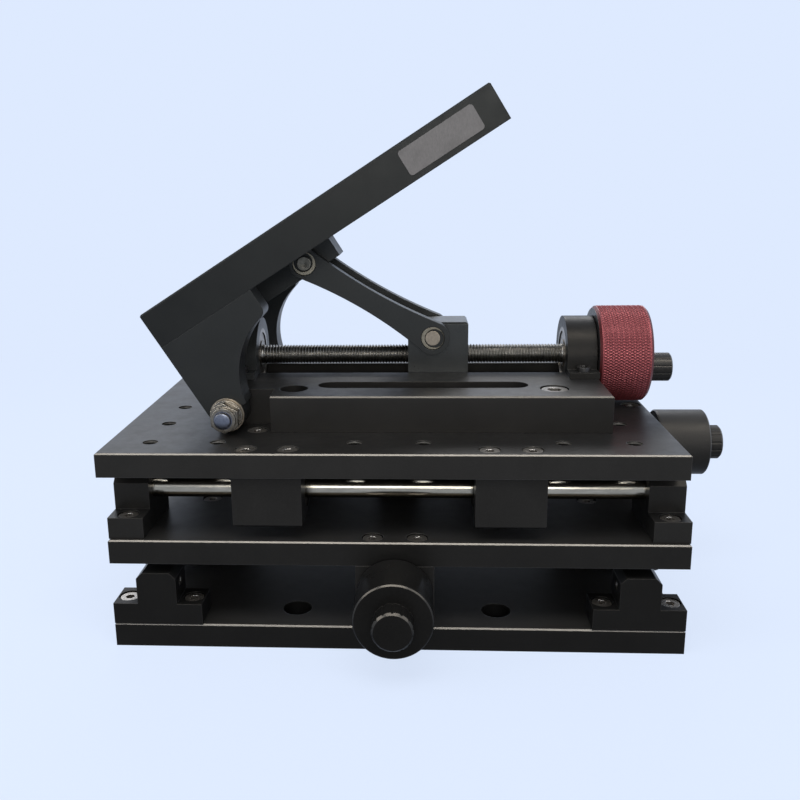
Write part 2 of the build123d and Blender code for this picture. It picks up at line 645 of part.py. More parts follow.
def screw_housing(x, inward):
    """A bearing housing from x inward: round top, straight sides and two feet."""
    y = HOUSING_RADIUS
    foot = HOUSING_FOOT_WIDTH / 2
    step = BASE_TOP + HOUSING_FOOT_HEIGHT
    outline = make_face(Curve() + [
        Polyline((-y, TILT_AXIS_Z), (-y, step), (-foot, step), (-foot, BASE_TOP), (foot, BASE_TOP),
                 (foot, step), (y, step), (y, TILT_AXIS_Z)),
        ThreePointArc((y, TILT_AXIS_Z), (0, TILT_AXIS_Z + y), (-y, TILT_AXIS_Z))])
    body = extrude(Plane.YZ.offset(min(x, x + inward)) * outline, HOUSING_THICKNESS)
    face = x + inward
    sign = "-X" if inward > 0 else "+X"
    body -= rod(BALL_BEARING_DIAMETER, (face, 0, TILT_AXIS_Z), BALL_BEARING_WIDTH, sign)
    body -= rod(TILT_SCREW_DIAMETER + 2 * HOUSING_BORE_CLEARANCE, (face, 0, TILT_AXIS_Z),
                HOUSING_THICKNESS, sign)
    middle = x + inward / 2
    for _, side in SIDES:
        body -= rod(SMALL_SHANK + THREAD_CLEARANCE, (middle, side * HOUSING_SCREW_Y, step),
                    HOUSING_FOOT_HEIGHT, "-Z")
    return body


def housing_screws():
    """Low-head screws in the feet of the two housings."""
    step = BASE_TOP + HOUSING_FOOT_HEIGHT
    screws = []
    for x in (BASE_LEFT + HOUSING_THICKNESS / 2, BASE_RIGHT - HOUSING_THICKNESS / 2):
        for _, side in SIDES:
            screws.append(socket_screw(x, side * HOUSING_SCREW_Y, step, HOUSING_FOOT_HEIGHT + THREAD_DEPTH,
                                       SMALL_SHANK, HOUSING_SCREW_HEAD, HOUSING_SCREW_HEAD_HEIGHT,
                                       SMALL_SOCKET, HOUSING_SCREW_SOCKET_DEPTH))
    return Compound(screws)


def ball_bearing(face, inward):
    """A shielded ball bearing: two rings that stand a lip proud of the shield."""
    bore = TILT_SCREW_DIAMETER / 2 + RUNNING_CLEARANCE
    outer = BALL_BEARING_DIAMETER / 2
    depth = BALL_BEARING_WIDTH
    lip = BALL_BEARING_LIP
    ring = (outer - bore) / 4
    profile = Polyline((bore, 0), (bore + ring, 0), (bore + ring, lip), (outer - ring, lip),
                       (outer - ring, 0), (outer, 0), (outer, depth), (bore, depth), close=True)
    body = revolve(Plane.XZ * make_face(profile), Axis.Z)
    turn = -90 if inward > 0 else 90
    return Pos(face, 0, TILT_AXIS_Z) * Rot(0, turn, 0) * body


def tilt_screw_bearings():
    """The two ball bearings, each in the inner face of its housing."""
    return Compound([ball_bearing(BASE_LEFT + HOUSING_THICKNESS, 1),
                     ball_bearing(BASE_RIGHT - HOUSING_THICKNESS, -1)])


def tilt_lead_screw():
    """The tilt screw, from inside the left housing to the middle of the knob."""
    start = BASE_LEFT + TILT_SCREW_RECESS
    end = BASE_RIGHT + TILT_KNOB_STANDOFF + TILT_KNOB_LENGTH / 2
    return rod(TILT_SCREW_DIAMETER, (start, 0, TILT_AXIS_Z), end - start, "+X")


def crank_place():
    """Where the crank handle's axis meets the knob's face, as Y and Z."""
    return -CRANK_FORWARD, TILT_AXIS_Z - CRANK_DOWN


def tilt_knob():
    """The large knob: hub, drum with chamfered rims and a dished outer face."""
    left = BASE_RIGHT + TILT_KNOB_STANDOFF
    drum = rod(TILT_KNOB_DIAMETER, (left, 0, TILT_AXIS_Z), TILT_KNOB_LENGTH, "+X")
    drum = chamfer(drum.edges().filter_by(GeomType.CIRCLE), TILT_KNOB_CHAMFER)
    hub = rod(TILT_HUB_DIAMETER, (BASE_RIGHT, 0, TILT_AXIS_Z), TILT_KNOB_STANDOFF, "+X")
    bore = rod(TILT_SCREW_DIAMETER, (BASE_RIGHT, 0, TILT_AXIS_Z),
               TILT_KNOB_STANDOFF + TILT_KNOB_LENGTH / 2, "+X")
    y, z = crank_place()
    face = left + TILT_KNOB_LENGTH
    pin = rod(CRANK_PIN_DIAMETER, (face, y, z), CRANK_PIN_DEPTH, "-X")
    return drum + hub - bore - pin


def crank_seat():
    """How far the pin's head sits from the knob's face."""
    return CRANK_LENGTH - CRANK_PIN_HEAD_HEIGHT - CRANK_PIN_SINK


def crank_pin():
    """The shoulder screw that carries the crank handle."""
    y, z = crank_place()
    face = BASE_RIGHT + TILT_KNOB_STANDOFF + TILT_KNOB_LENGTH
    head = face + crank_seat()
    shank = rod(CRANK_PIN_DIAMETER, (face - CRANK_PIN_DEPTH, y, z), head - face + CRANK_PIN_DEPTH, "+X")
    return shank + rod(CRANK_PIN_HEAD, (head, y, z), CRANK_PIN_HEAD_HEIGHT, "+X")


def crank_handle():
    """The fluted handle that spins on the shoulder screw."""
    y, z = crank_place()
    face = BASE_RIGHT + TILT_KNOB_STANDOFF + TILT_KNOB_LENGTH
    body = fluted_grip(CRANK_DIAMETER, CRANK_LENGTH - CRANK_CLEARANCE, CRANK_FLUTES, CRANK_FLUTE)
    floor = crank_seat() - CRANK_CLEARANCE - 2 * RUNNING_CLEARANCE
    body -= rod(CRANK_PIN_DIAMETER + 2 * RUNNING_CLEARANCE, (0, 0, 0), CRANK_LENGTH, "-Y")
    body -= rod(CRANK_PIN_HEAD + 2 * RUNNING_CLEARANCE, (0, -floor, 0), CRANK_LENGTH, "-Y")
    return Pos(face + CRANK_CLEARANCE, y, z) * Rot(0, 0, 90) * body


def slide_block():
    """The block on the tilt screw that pushes the links; it runs in the base's channel."""
    left = PIN_LOW_X - SLIDER_PIN_BACK
    half = SLIDER_WIDTH / 2
    floor = TOP_TOP + CHANNEL_FLOOR + SLIDER_FLOOR_CLEARANCE
    body = block(left, left + SLIDER_LENGTH, -half, half, floor, TOP_TOP + SLIDER_TOP)
    body = chamfer(body.faces().sort_by(Axis.Z)[-1].edges(), SLIDER_CHAMFER)
    body -= rod(TILT_SCREW_DIAMETER + 2 * RUNNING_CLEARANCE, (left, 0, TILT_AXIS_Z), SLIDER_LENGTH, "+X")
    return body - rod(LINK_PIN_DIAMETER, (PIN_LOW_X, -half, PIN_LOW_Z), SLIDER_WIDTH, "+Y")


def block_pin():
    """The pin through the slide block and both links."""
    half = LINK_OUTER - LINK_COUNTERBORE_DEPTH / 3
    return rod(LINK_PIN_DIAMETER, (PIN_LOW_X, -half, PIN_LOW_Z), 2 * half, "+Y")


def link(side):
    """One curved link, drawn along +X from the table end, then turned to its place."""
    top_0 = (0, LINK_TABLE_END_RADIUS)
    top_1 = (LINK_LENGTH / 2, LINK_WAIST_ABOVE)
    top_2 = (LINK_LENGTH, LINK_SLIDER_END_RADIUS)
    low_2 = (LINK_LENGTH, -LINK_SLIDER_END_RADIUS)
    low_1 = (LINK_LENGTH / 2, -LINK_WAIST_BELOW)
    low_0 = (0, -LINK_TABLE_END_RADIUS)
    outline = make_face(Curve() + [
        ThreePointArc(top_0, top_1, top_2),
        ThreePointArc(top_2, (LINK_LENGTH + LINK_SLIDER_END_RADIUS, 0), low_2),
        ThreePointArc(low_2, low_1, low_0),
        ThreePointArc(low_0, (-LINK_TABLE_END_RADIUS, 0), top_0)])
    start = LINK_INNER if side > 0 else -LINK_OUTER
    body = extrude(Plane.XZ.offset(-start - LINK_THICKNESS) * outline, LINK_THICKNESS)
    body -= rod(LINK_PIN_DIAMETER + 2 * RUNNING_CLEARANCE, (LINK_LENGTH, start, 0), LINK_THICKNESS, "+Y")
    outer = side * LINK_OUTER
    inward = "-Y" if side > 0 else "+Y"
    for x in (0, LINK_LENGTH):
        ring = tube(LINK_COUNTERBORE, LINK_PIN_DIAMETER, (x, outer, 0), LINK_COUNTERBORE_DEPTH, inward)
        body -= ring
    return Pos(PIN_UP_X, 0, PIN_UP_Z) * Rot(0, math.degrees(LINK_DROP), 0) * body


def at_table(shape):
    """Place a table piece, drawn level with the hinge at the origin, at its rest tilt."""
    return Pos(HINGE_X, 0, HINGE_Z) * Rot(0, -TILT_REST, 0) * shape


def table_hole_places():
    """Tapped hole places on the table, along and across it."""
    middle = BASE_LENGTH / 2 - HINGE_INSET
    return [(middle + (i - (TABLE_COLUMNS - 1) / 2) * GRID, (j - (TABLE_ROWS - 1) / 2) * GRID)
            for i in range(TABLE_COLUMNS) for j in range(TABLE_ROWS)]


def cheek_screw_places():
    """Screws through the table into the cheeks: along, across."""
    cheek_y = BASE_DEPTH / 2 - CHEEK_THICKNESS / 2
    return [(along, side * cheek_y) for _, side in SIDES for along in (0, CHEEK_SCREW_SPACING)]


def bar_screw_places():
    """Screws through the bar into the table: along, across."""
    return [(BAR_SCREW_NEAR, 0), (BAR_END - BAR_SCREW_INSET, 0)]


def tilt_platform():
    """The table: tapped holes on top, a shallow pocket for the link ends below."""
    half = BASE_DEPTH / 2
    left = -HINGE_INSET
    body = block(left, left + BASE_LENGTH, -half, half, TABLE_UNDERSIDE, TABLE_TOP)
    body = chamfer(body.faces().sort_by(Axis.Z)[-1].edges(), TABLE_CHAMFER)
    body -= block(LINK_PIN_ALONG - POCKET_BEHIND, LINK_PIN_ALONG + POCKET_AHEAD, -POCKET_WIDTH / 2,
                  POCKET_WIDTH / 2, TABLE_UNDERSIDE, TABLE_UNDERSIDE + POCKET_DEPTH)
    for x, y in table_hole_places():
        body -= rod(TAPPED_BORE, (x, y, TABLE_TOP), TABLE_HOLE_DEPTH, "-Z")
    bore = SMALL_SHANK + THREAD_CLEARANCE
    for x, y in cheek_screw_places():
        body -= counterbored(x, y, TABLE_TOP, TABLE_UNDERSIDE, bore, SMALL_COUNTERBORE, small_seat())
    for x, y in bar_screw_places():
        body -= rod(bore, (x, y, TABLE_UNDERSIDE), POCKET_DEPTH + THREAD_DEPTH, "+Z")
    return at_table(body)


def cheek_arc(angle):
    """A point on the concave arc of a hinge cheek."""
    return (CHEEK_ARC_CENTRE - CHEEK_ARC_RADIUS * math.cos(angle),
            TABLE_UNDERSIDE - CHEEK_BAND - CHEEK_ARC_RADIUS * (1 - math.sin(angle)))


def hinge_cheek(side):
    """One hinge cheek: straight outer edge, hinge boss, a concave arc and a rounded end."""
    boss = CHEEK_BOSS_RADIUS
    first = math.asin(1 - (TABLE_UNDERSIDE - CHEEK_BAND) / CHEEK_ARC_RADIUS)
    last = math.acos((CHEEK_ARC_CENTRE - CHEEK_LENGTH) / CHEEK_ARC_RADIUS)
    outline = make_face(Curve() + [
        ThreePointArc((-HINGE_INSET, 0), (0, -boss), (boss, 0)),
        Line((boss, 0), cheek_arc(first)),
        ThreePointArc(cheek_arc(first), cheek_arc((first + last) / 2), cheek_arc(last)),
        Polyline(cheek_arc(last), (CHEEK_LENGTH, TABLE_UNDERSIDE), (-HINGE_INSET, TABLE_UNDERSIDE),
                 (-HINGE_INSET, 0))])
    outer = BASE_DEPTH / 2
    start = outer - CHEEK_THICKNESS if side > 0 else -outer
    body = extrude(Plane.XZ.offset(-start - CHEEK_THICKNESS) * outline, CHEEK_THICKNESS)
    corner = body.edges().filter_by(Axis.Y).group_by(Axis.X)[-1].sort_by(Axis.Z)[0]
    body = fillet(corner, CHEEK_CORNER)
    body -= rod(BUSH_DIAMETER, (0, start, 0), CHEEK_THICKNESS, "+Y")
    for x, y in cheek_screw_places():
        if y * side > 0:
            body -= rod(SMALL_SHANK + THREAD_CLEARANCE, (x, y, TABLE_UNDERSIDE),
                        THREAD_DEPTH + HOLE_SPARE, "-Z")
    return at_table(body)


def link_bar():
    """The bar under the middle of the table, between the links, that takes their upper pin."""
    low = TABLE_UNDERSIDE - BAR_DROP
    half = BAR_WIDTH / 2
    body = block(BAR_START, BAR_END, -half, half, low, TABLE_UNDERSIDE)
    body += block(LINK_PIN_ALONG - POCKET_BEHIND, BAR_END, -half, half, TABLE_UNDERSIDE,
                  TABLE_UNDERSIDE + POCKET_DEPTH)
    body -= rod(LINK_PIN_DIAMETER, (LINK_PIN_ALONG, -half, LINK_PIN_NORMAL), BAR_WIDTH, "+Y")
    for x, y in bar_screw_places():
        body -= rod(SMALL_SHANK + THREAD_CLEARANCE, (x, y, low), BAR_DROP + POCKET_DEPTH, "+Z")
        body -= rod(SMALL_COUNTERBORE, (x, y, low), small_seat(), "+Z")
    return at_table(body)


def platform_screws():
    """Screws down through the table into the cheeks, and up through the bar into the table."""
    seat = TABLE_TOP - small_seat()
    screws = [small_screw(x, y, seat, seat - TABLE_UNDERSIDE + THREAD_DEPTH)
              for x, y in cheek_screw_places()]
    seat = TABLE_UNDERSIDE - BAR_DROP + small_seat()
    end = TABLE_UNDERSIDE + POCKET_DEPTH + THREAD_DEPTH - HOLE_SPARE
    screws += [small_screw_up(x, y, seat, end - seat) for x, y in bar_screw_places()]
    return Compound([at_table(screw) for screw in screws])


def link_pin():
    """The upper link pin, pressed in the bar."""
    body = rod(LINK_PIN_DIAMETER, (LINK_PIN_ALONG, -BAR_WIDTH / 2, LINK_PIN_NORMAL), BAR_WIDTH, "+Y")
    return at_table(body)


def hinge_bush(side):
    """A flanged bush in a cheek."""
    outer = BASE_DEPTH / 2
    direction = "-Y" if side > 0 else "+Y"
    bore = HINGE_STUD + 2 * RUNNING_CLEARANCE
    face = side * (outer + BUSH_FLANGE_THICKNESS)
    sleeve = tube(BUSH_DIAMETER, bore, (0, face, 0), CHEEK_THICKNESS + BUSH_FLANGE_THICKNESS, direction)
    flange = tube(BUSH_FLANGE, bore, (0, face, 0), BUSH_FLANGE_THICKNESS, direction)
    return at_table(sleeve + flange)


def hinge_fastener(side):
    """Stud, washer and lock nut of one hinge, as three solids."""
    direction = "+Y" if side > 0 else "-Y"
    root = BASE_DEPTH / 2 - NOTCH_DEPTH - HINGE_STUD_GRIP
    washer_at = BASE_DEPTH / 2 + BUSH_FLANGE_THICKNESS + 2 * RUNNING_CLEARANCE
    nut_at = washer_at + WASHER_THICKNESS
    end = nut_at + NUT_DEPTH + HINGE_STUD_END
    stud = rod(HINGE_STUD, (0, side * root, 0), end - root, direction)
    washer = tube(WASHER_DIAMETER, HINGE_STUD, (0, side * washer_at, 0), WASHER_THICKNESS, direction)
    plane = Plane(origin=(0, side * nut_at, 0), z_dir=(0, side, 0))
    hexagon = RegularPolygon(radius=NUT_FLATS / math.sqrt(3), side_count=6)
    nut = extrude(plane * hexagon, NUT_DEPTH - NUT_COLLAR_LENGTH)
    nut += rod(NUT_COLLAR, (0, side * nut_at, 0), NUT_DEPTH, direction)
    nut -= rod(HINGE_STUD, (0, side * nut_at, 0), NUT_DEPTH, direction)
    return [Pos(HINGE_X, 0, HINGE_Z) * piece for piece in (stud, washer, nut)]


def hinge_fasteners():
    """The fasteners of both hinges."""
    return Compound([piece for _, side in SIDES for piece in hinge_fastener(side)])


def all_parts():
    """Every node by name."""
    parts = {"bottom_plate": bottom_plate(), "middle_plate": middle_plate(), "top_plate": top_plate()}
    for end, ex in ENDS:
        parts[f"lower_shaft_{end}"] = shaft(ex * Y_SHAFT_OFFSET, 0, Y_AXIS_Z, False)
    for side, sy in SIDES:
        parts[f"upper_shaft_{side}"] = shaft(0, sy * X_SHAFT_OFFSET, X_AXIS_Z, True)
    for name, x, y, _ in y_support_places():
        parts[name] = Pos(x, y, 0) * Rot(0, 0, 180 if y > 0 else 0) * shaft_support(BOTTOM_TOP, x * y)
    for name, x, y, _ in x_support_places():
        parts[name] = Pos(x, y, 0) * Rot(0, 0, 90 if x > 0 else -90) * shaft_support(MIDDLE_TOP, -x * y)
    for name, x, y in y_block_places():
        parts[name] = bearing_block(x, y, MIDDLE_FLOOR, False)
    for name, x, y in x_block_places():
        parts[name] = bearing_block(x, y, TOP_FLOOR, True)
    parts["lower_linear_bearings"] = Compound([linear_bearing(x, y, Y_AXIS_Z, False)
                                               for _, x, y in y_block_places()])
    parts["upper_linear_bearings"] = Compound([linear_bearing(x, y, X_AXIS_Z, True)
                                               for _, x, y in x_block_places()])
    parts["lower_nut_block"] = nut_block(BOTTOM_TOP, False)
    parts["upper_nut_block"] = nut_block(MIDDLE_TOP, True)
    parts["y_bracket"] = at_y_bracket(knob_bracket())
    parts["x_bracket"] = at_x_bracket(knob_bracket())
    parts["y_bracket_bearing"] = at_y_bracket(bracket_bearing())
    parts["x_bracket_bearing"] = at_x_bracket(bracket_bearing())
    parts["y_knob"] = at_y_screw(slide_knob(Y_KNOB_STANDOFF))
    parts["x_knob"] = at_x_screw(slide_knob(X_KNOB_STANDOFF))
    parts["lower_lead_screw"] = at_y_screw(slide_lead_screw(Y_KNOB_STANDOFF, PLATE_DEPTH / 2))
    parts["upper_lead_screw"] = at_x_screw(slide_lead_screw(X_KNOB_STANDOFF, PLATE_LENGTH / 2))
    parts["base_screws"] = base_screws()
    parts["middle_screws"] = middle_screws()
    parts["top_screws"] = top_screws()
    parts["tilt_base"] = tilt_base()
    parts["tilt_base_screws"] = tilt_base_screws()
    parts["left_housing"] = screw_housing(BASE_LEFT, HOUSING_THICKNESS)
    parts["right_housing"] = screw_housing(BASE_RIGHT, -HOUSING_THICKNESS)
    parts["housing_screws"] = housing_screws()
    parts["tilt_screw_bearings"] = tilt_screw_bearings()
    parts["tilt_lead_screw"] = tilt_lead_screw()
    parts["tilt_knob"] = tilt_knob()
    parts["crank_pin"] = crank_pin()
    parts["crank_handle"] = crank_handle()
    parts["slide_block"] = slide_block()
    parts["block_pin"] = block_pin()
    parts["front_link"] = link(-1)
    parts["rear_link"] = link(1)
    parts["link_pin"] = link_pin()
    parts["tilt_platform"] = tilt_platform()
    parts["front_cheek"] = hinge_cheek(-1)
    parts["rear_cheek"] = hinge_cheek(1)
    parts["link_bar"] = link_bar()
    parts["platform_screws"] = platform_screws()
    parts["hinge_bushes"] = Compound([hinge_bush(side) for _, side in SIDES])
    parts["hinge_fasteners"] = hinge_fasteners()
    return parts


for name, shape in all_parts().items():
    export_step(shape, f"parts/{name}.step")
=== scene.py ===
"""Looks of the three-axis combination stage: materials, threads, knurl, label, light and camera."""
import json
import math

import bmesh
import bpy
from mathutils import Matrix, Vector


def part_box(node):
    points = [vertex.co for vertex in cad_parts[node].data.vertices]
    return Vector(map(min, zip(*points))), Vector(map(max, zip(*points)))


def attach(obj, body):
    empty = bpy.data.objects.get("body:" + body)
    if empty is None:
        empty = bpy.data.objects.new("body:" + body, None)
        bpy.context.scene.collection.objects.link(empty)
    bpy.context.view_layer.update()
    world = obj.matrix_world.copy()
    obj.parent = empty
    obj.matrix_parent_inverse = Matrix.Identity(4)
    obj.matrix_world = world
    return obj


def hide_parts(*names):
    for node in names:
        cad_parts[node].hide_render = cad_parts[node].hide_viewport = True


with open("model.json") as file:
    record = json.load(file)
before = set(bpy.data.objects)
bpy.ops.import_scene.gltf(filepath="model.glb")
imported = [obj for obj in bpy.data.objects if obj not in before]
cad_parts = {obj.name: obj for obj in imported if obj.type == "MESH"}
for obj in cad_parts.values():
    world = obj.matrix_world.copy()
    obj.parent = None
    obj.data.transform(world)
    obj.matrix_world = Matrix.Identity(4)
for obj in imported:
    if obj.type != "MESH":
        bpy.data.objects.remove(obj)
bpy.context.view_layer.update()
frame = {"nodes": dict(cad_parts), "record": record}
nodes = frame["nodes"]
slot_of = {part["node"]: part["material_slot"] for part in frame["record"]["subparts"]}
MM = 0.001

# Camera, in metres, radians and pixels of the 800 pixel frame
CAMERA_PLACE = Vector((0.0090875, -0.367287, 0.1689123))
CAMERA_YAW = -0.0591
CAMERA_DOWN = 0.2402
CAMERA_ROLL = -0.0149
FOCAL_PIXELS = 881.887
FRAME_PIXELS = 800
CENTRE_PIXELS = (369.271, 390.875)
SENSOR_WIDTH = 36.0

# Backdrop as linear colour, and how much of the floor glows, takes light and shadow, and bounces
BACKDROP = (0.730, 0.823, 1.0)
WORLD_LIGHT = 0.42
WORLD_LIGHT_COLOUR = (1.0, 0.985, 0.96)
FLOOR_HALF = 6.0
FLOOR_GLOW = 0.85
FLOOR_MATT = 0.12
FLOOR_BOUNCE = 0.25
FLOOR_FADE = (0.20, 0.60)

# Lamps: name, place, width and height in metres, watts and colour
LAMP_TARGET = Vector((0.0, 0.0, 0.09))
LAMPS = (
    ("key", (0.0, -0.60, 1.44), (1.5, 0.5), 18.0, (1.0, 0.985, 0.96)),
    ("front", (0.0, -1.15, 0.40), (0.5, 0.3), 4.0, (1.0, 0.985, 0.97)),
    ("left", (-1.05, -0.45, 0.80), (0.6, 0.8), 6.0, (1.0, 0.985, 0.96)),
    ("right", (0.95, -0.75, 0.75), (0.8, 0.8), 4.0, (1.0, 0.99, 0.97)),
    ("back", (-0.1, 1.1, 0.95), (1.2, 0.5), 8.0, (1.0, 1.0, 1.0)),
)

# Black anodising: hues, the sheen's tint for each, and noise scales in cells per metre
WARM_BLACK = (1.0, 0.985, 0.97)
COOL_BLACK = (0.95, 1.0, 1.02)
SHEEN = {WARM_BLACK: (1.0, 0.90, 0.76), COOL_BLACK: (0.92, 0.93, 0.86)}
CLOUD_SCALE = 55.0
SMUDGE_SCALE = 140.0
SPECK_SCALE = 2600.0
TONE_SPREAD = (0.82, 1.18)
ROUGH_SPREAD = (-0.05, 0.07)
SPECK_BRIGHTER = 2.2
SPECK_SHARE = 0.35
SPECK_RANGE = (0.5, 0.75)
# Paler edges: wear on every edge, and a painted highlight on bevels that look up and on the side of
# turned pieces towards the light
EDGE_RADIUS = 0.35 * MM
EDGE_WEAR_AND_HIGHLIGHT = 0.28
EDGE_RANGE = (0.82, 0.995)
BEVEL_HIGHLIGHT = 0.6
WEAR_AND_HIGHLIGHT_HUE = (1.0, 0.98, 0.95)
WORN_ROUGHNESS = 0.65
SHADED_GLOSS = 0.3
BLASTED = 0.0035 * MM
TURNED = 0.002 * MM

# Parts of the surface's own normal, from none to all of a mask
TOP_FACE = (0.95, 0.99)
LIT_SIDE = (-0.1, 0.5)
BEVEL_RISE = (0.35, 0.55)
BEVEL_FALL = (0.85, 0.97)

# Bare metal band on the walls of the top plate's holes, placed where a glint falls as a painted glint:
# colour, depth, height, fade and distance from the sides
BARE_GLINT_WALL = (0.46, 0.44, 0.40)
BAND_TOP = 0.40 * MM
BAND_HEIGHT = 0.55 * MM
BAND_FADE = 0.15 * MM
BAND_SIDES = (1.2 * MM, 1.0 * MM)

# Bare metal
LINE_SCALE = 900.0
STAIN_SCALE = 90.0
STAIN_DARKER = 0.55
STAIN_SHARE = 0.25
STAIN_RANGE = (0.45, 0.75)
METAL_ROUGH_SPREAD = (-0.04, 0.08)
METAL_EDGE_RADIUS = 0.25 * MM
METAL_EDGE_WEAR_AND_HIGHLIGHT = 0.9
BRIGHTEST = 0.9

# Clean-up and shading of new meshes
WELD = 2e-6
SLIVER = 1e-6
SHARP_ANGLE = math.radians(34)
ROUND_SIDES = 48

# Lead screws: M8 with a fine pitch; the flanks rise between a flat crest and a flat root
THREAD_PITCH = 1.25 * MM
THREAD_DEPTH = 0.62 * MM
THREAD_RADIUS = 4.0 * MM
THREAD_CREST = 0.12
THREAD_FLANK = 0.76
STEPS_PER_PITCH = 8
THREAD_SIDES = 24
JOURNAL_CHAMFER = 0.5 * MM
JOURNAL = 3 * MM
TILT_THREAD = (-57.9 * MM, 68.5 * MM)
UPPER_THREAD_END = 84.0 * MM
LOWER_THREAD_START = -56.0 * MM

# Large knob
KNURL_COUNT = 106
KNURL_PITCH = 2.1 * MM
KNURL_DEPTH = 0.30 * MM
KNURL_STEPS = 7
KNURL_FLAT = 1.25
KNURL_FLOOR = 0.9
KNURL_MARGIN_STEPS = 3
KNURL_MARGIN_DEPTH = 0.12 * MM
KNOB_STANDOFF = 0.4 * MM

# Table frame at rest: the pin is given along and square to the table from its hinge
TILT = math.radians(32.0)
HINGE = Vector((-0.0633, 0.0, 0.0819))
UPPER_PIN = (50.0 * MM, 31.0 * MM)
TABLE_FRONT = -50.0 * MM

# Washers in the links' counterbores, whose off-centre holes set a bright crescent where light falls as
# a painted highlight: how far the hole is off centre, and which way, in degrees
WASHER_SHIFT = 0.68 * MM
WASHER_TURN = {"upper": 130.0, "lower": -15.0}

SIDES = {"front": -1, "rear": 1}
SOCKETS = {"colour": "Base Color", "roughness": "Roughness", "metallic": "Metallic",
           "specular": "Specular IOR Level", "tint": "Specular Tint", "normal": "Normal"}


class Tree:
    """Short ways to add, set and join the nodes of a tree."""

    def __init__(self, tree):
        self.tree = tree

    def add(self, kind, **fields):
        """A node with its fields set by name."""
        node = self.tree.nodes.new(kind)
        for key, value in fields.items():
            setattr(node, key, value)
        return node

    def join(self, source, target):
        self.tree.links.new(source, target)

    def maths(self, operation, first, second):
        """A sum, product or other result of two values."""
        node = self.add("ShaderNodeMath", operation=operation)
        self.join(first, node.inputs[0])
        self.join(second, node.inputs[1])
        return node.outputs["Value"]

    def source(self, kind, colour, strength=None):
        """An emission, background or matt shader of one colour."""
        node = self.add(kind)
        node.inputs["Color"].default_value = (*colour, 1.0)
        if strength is not None:
            node.inputs["Strength"].default_value = strength
        return node.outputs[0]

    def mix_shaders(self, factor, first, second):
        node = self.add("ShaderNodeMixShader")
        self.join(factor, node.inputs["Fac"])
        self.join(first, node.inputs[1])
        self.join(second, node.inputs[2])
        return node.outputs[0]

    def seen_share(self):
        """1 for rays from the camera, a mirror or glass, and 0 for the rest."""
        path = self.add("ShaderNodeLightPath")
        seen = self.maths("MAXIMUM", path.outputs["Is Camera Ray"], path.outputs["Is Glossy Ray"])
        return self.maths("MAXIMUM", seen, path.outputs["Is Transmission Ray"])


